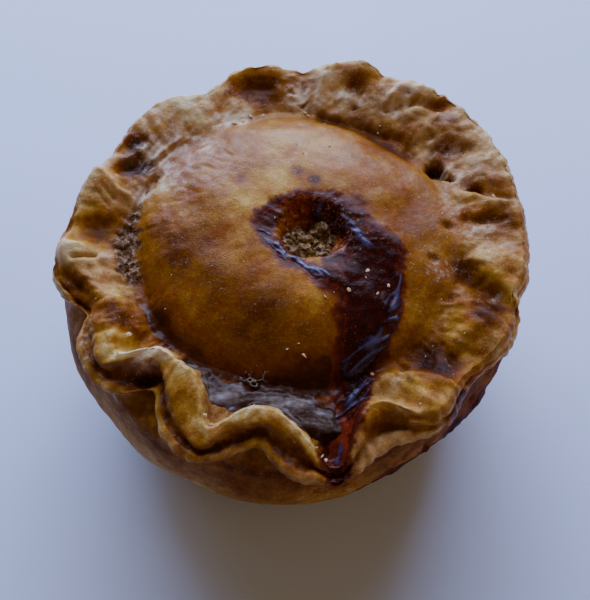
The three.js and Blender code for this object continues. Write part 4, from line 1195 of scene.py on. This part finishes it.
def pork_jelly():
    """pork jelly, poured in and set: a cloudy grey-brown film, wet and streaked, darker where it is thin
    over juice, pale at the edges of its burst bubbles, and in its palest places a painted bluish reflection
    of the sky"""
    material, tree, shader, place = new_material("pork_jelly")
    lie, cloud_and_sheen = (add(tree, "Attribute", out="Fac", attribute_name=mask) for mask in ("lie", "cloud_and_sheen"))
    # streaks 1.6 mm wide and nearly 5 mm long, and ripples of 0.8 mm
    streaked = add(tree, "Mapping", {"Vector": place, "Scale": (0.35, 1, 1), "Rotation": (0, 0, 0.3)})
    streaks, ripples = (
        add(tree, "TexNoise", {"Vector": where, "Scale": 1 / size, "Detail": detail, "Roughness": 0.55})
        for where, size, detail in ((streaked, 1.6, 5), (place, 0.8, 3)))
    cloudy = roughened(tree, streaks, (ripples, 0.3))
    cloudy = add(tree, "Math", (cloud_and_sheen, 0.5, cloudy), operation="MULTIPLY_ADD")
    # the palest, bluish grey of the cloudiness is partly painted reflection of the sky
    grey = add(tree, "ValToRGB", (cloudy,), stops=(
        (0.3, "#2C180E"), (0.48, "#463026"), (0.66, "#7A6E68"), (0.85, "#A6A4B2")))
    burst = add(tree, "MapRange", (lie, BURST - 1, BURST))
    grey = add(tree, "Mix", {0: burst, 6: grey, 7: srgb("#8C7C74")}, out=2, data_type="RGBA")
    thin = add(tree, "ValToRGB", (ripples,), stops=((0.35, "#2A1006"), (0.65, "#4A2410")))
    middle = add(tree, "MapRange", (roughened(tree, lie, (streaks, 2.4)), 0, 1.5))
    height = add(tree, "Math", (ripples, 0.5, streaks), operation="MULTIPLY_ADD")
    connect(tree, shader, {
        "Base Color": add(tree, "Mix", {0: middle, 6: thin, 7: grey}, out=2, data_type="RGBA"),
        "Normal": add(tree, "Bump", {"Height": height, "Strength": 0.6, "Distance": 0.25 * MM}),
        "Roughness": 0.22, "Specular IOR Level": 0.22, "IOR": 1.36,
        "Coat Weight": 0.06, "Coat Roughness": 0.1,
    })
    return material


def set_filling():
    """boiled pork and fat set in jelly, chopped: grey-olive, moist, pale on its crags"""
    material, tree, shader, place = new_material("set_filling")
    # shreds of 0.7 mm
    shreds = add(tree, "TexNoise", {"Vector": place, "Scale": 1 / 0.7, "Detail": 5, "Roughness": 0.55})
    connect(tree, shader, {
        "Base Color": add(tree, "ValToRGB", (shreds,), stops=(
            (0.3, "#241006"), (0.46, "#563618"), (0.6, "#86673A"), (0.75, "#BCA06A"))),
        "Normal": add(tree, "Bump", {"Height": shreds, "Strength": 0.8, "Distance": 0.2 * MM}),
        "Roughness": 0.45, "Specular IOR Level": 0.3, "IOR": 1.4,
    })
    return material


def dry_crumb():
    """pastry broken from the crust: pale, matt and floury"""
    material, tree, shader, place = new_material("dry_crumb")
    # patches of 1.5 mm, so that one crumb is darker than the next
    patches = add(tree, "TexNoise", {"Vector": place, "Scale": 1 / 1.5, "Detail": 4, "Roughness": 0.55})
    connect(tree, shader, {
        "Base Color": add(tree, "ValToRGB", (patches,), stops=((0.3, "#A87C4C"), (0.6, "#D2B890"))),
        "Roughness": 0.75,
    })
    return material


def painted_board():
    """a board painted pale blue with a roller: matt and a little cloudy"""
    material, tree, shader, place = new_material("painted_board")
    # clouds of 60 mm
    clouds = add(tree, "TexNoise", {"Vector": place, "Scale": 1 / 60, "Detail": 4, "Roughness": 0.55})
    connect(tree, shader, {
        "Base Color": add(tree, "ValToRGB", (clouds,), stops=((0.3, "#C6D7FA"), (0.7, "#CCDBFC"))),
        "Roughness": 0.7,
    })
    return material


# ---- the pieces ------------------------------------------------------------

crust = make_crust()
juice_film = make_juice()
jelly = make_jelly()
crumbs = make_crumbs()
plug = make_plug()
bits = make_filling_bits()
filling = set_filling()
for piece, material, slot in (
    (crust, baked_pastry(), "crust"), (plug, filling, "filling"), (bits, filling, "filling"),
    (juice_film, meat_juice(), "filling"), (jelly, pork_jelly(), "filling"),
    (crumbs, dry_crumb(), "crust"),
):
    piece.data.materials.append(material)
    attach(piece, "root")
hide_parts("crust")
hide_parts("filling_plug")

# ---- floor, light and camera -----------------------------------------------

FLOOR_HALF = 1500
floor_points = [(i * FLOOR_HALF, j * FLOOR_HALF, 0.0) for i, j in ((-1, -1), (1, -1), (1, 1), (-1, 1))]
floor = make_object("floor", floor_points, [(0, 1, 2, 3)])
floor.data.materials.append(painted_board())

world = bpy.data.worlds.new("room")
bpy.context.scene.world = world
world.use_nodes = True
connect(world.node_tree, world.node_tree.nodes["Background"], {"Color": srgb("#E6C09A"), "Strength": 0.22})


def area_light(name, place_mm, aim_mm, wide_mm, tall_mm, watts, code):
    """a soft light as large as a window, turned to its aim"""
    data = bpy.data.lights.new(name, "AREA")
    data.shape = "RECTANGLE"
    data.size = wide_mm * MM
    data.size_y = tall_mm * MM
    data.energy = watts
    data.color = srgb(code)[:3]
    light = put(name, data)
    light.location = Vector(place_mm) * MM
    light.rotation_euler = (Vector(aim_mm) - Vector(place_mm)).to_track_quat("-Z", "Y").to_euler()


area_light("window", (-10, 400, 330), (0, 0, 30), 600, 480, 6.5, "#C4D4FF")
area_light("low_sky", (-80, 620, 130), (0, 0, 30), 860, 260, 5.6, "#C4D4FF")
area_light("lamp", (560, -200, 260), (0, 0, 20), 500, 400, 0.6, "#FFD890")

ELEVATION = 61 * DEG
TARGET = Vector((0.6, -5.9, 32.5))
DISTANCE = 190
# pixels for a millimetre at the target, pixels on the frame's longer side, and the sensor
PIXELS_PER_MM, FRAME_PIXELS, SENSOR = 5.86, 600, 36
back_way = Vector((0, -math.cos(ELEVATION), math.sin(ELEVATION)))
lens = bpy.data.cameras.new("camera")
lens.sensor_width = SENSOR
lens.lens = PIXELS_PER_MM * DISTANCE * SENSOR / FRAME_PIXELS
camera = put("camera", lens)
camera.location = (TARGET + back_way * DISTANCE) * MM
camera.rotation_euler = back_way.to_track_quat("Z", "Y").to_euler()
bpy.context.scene.camera = camera
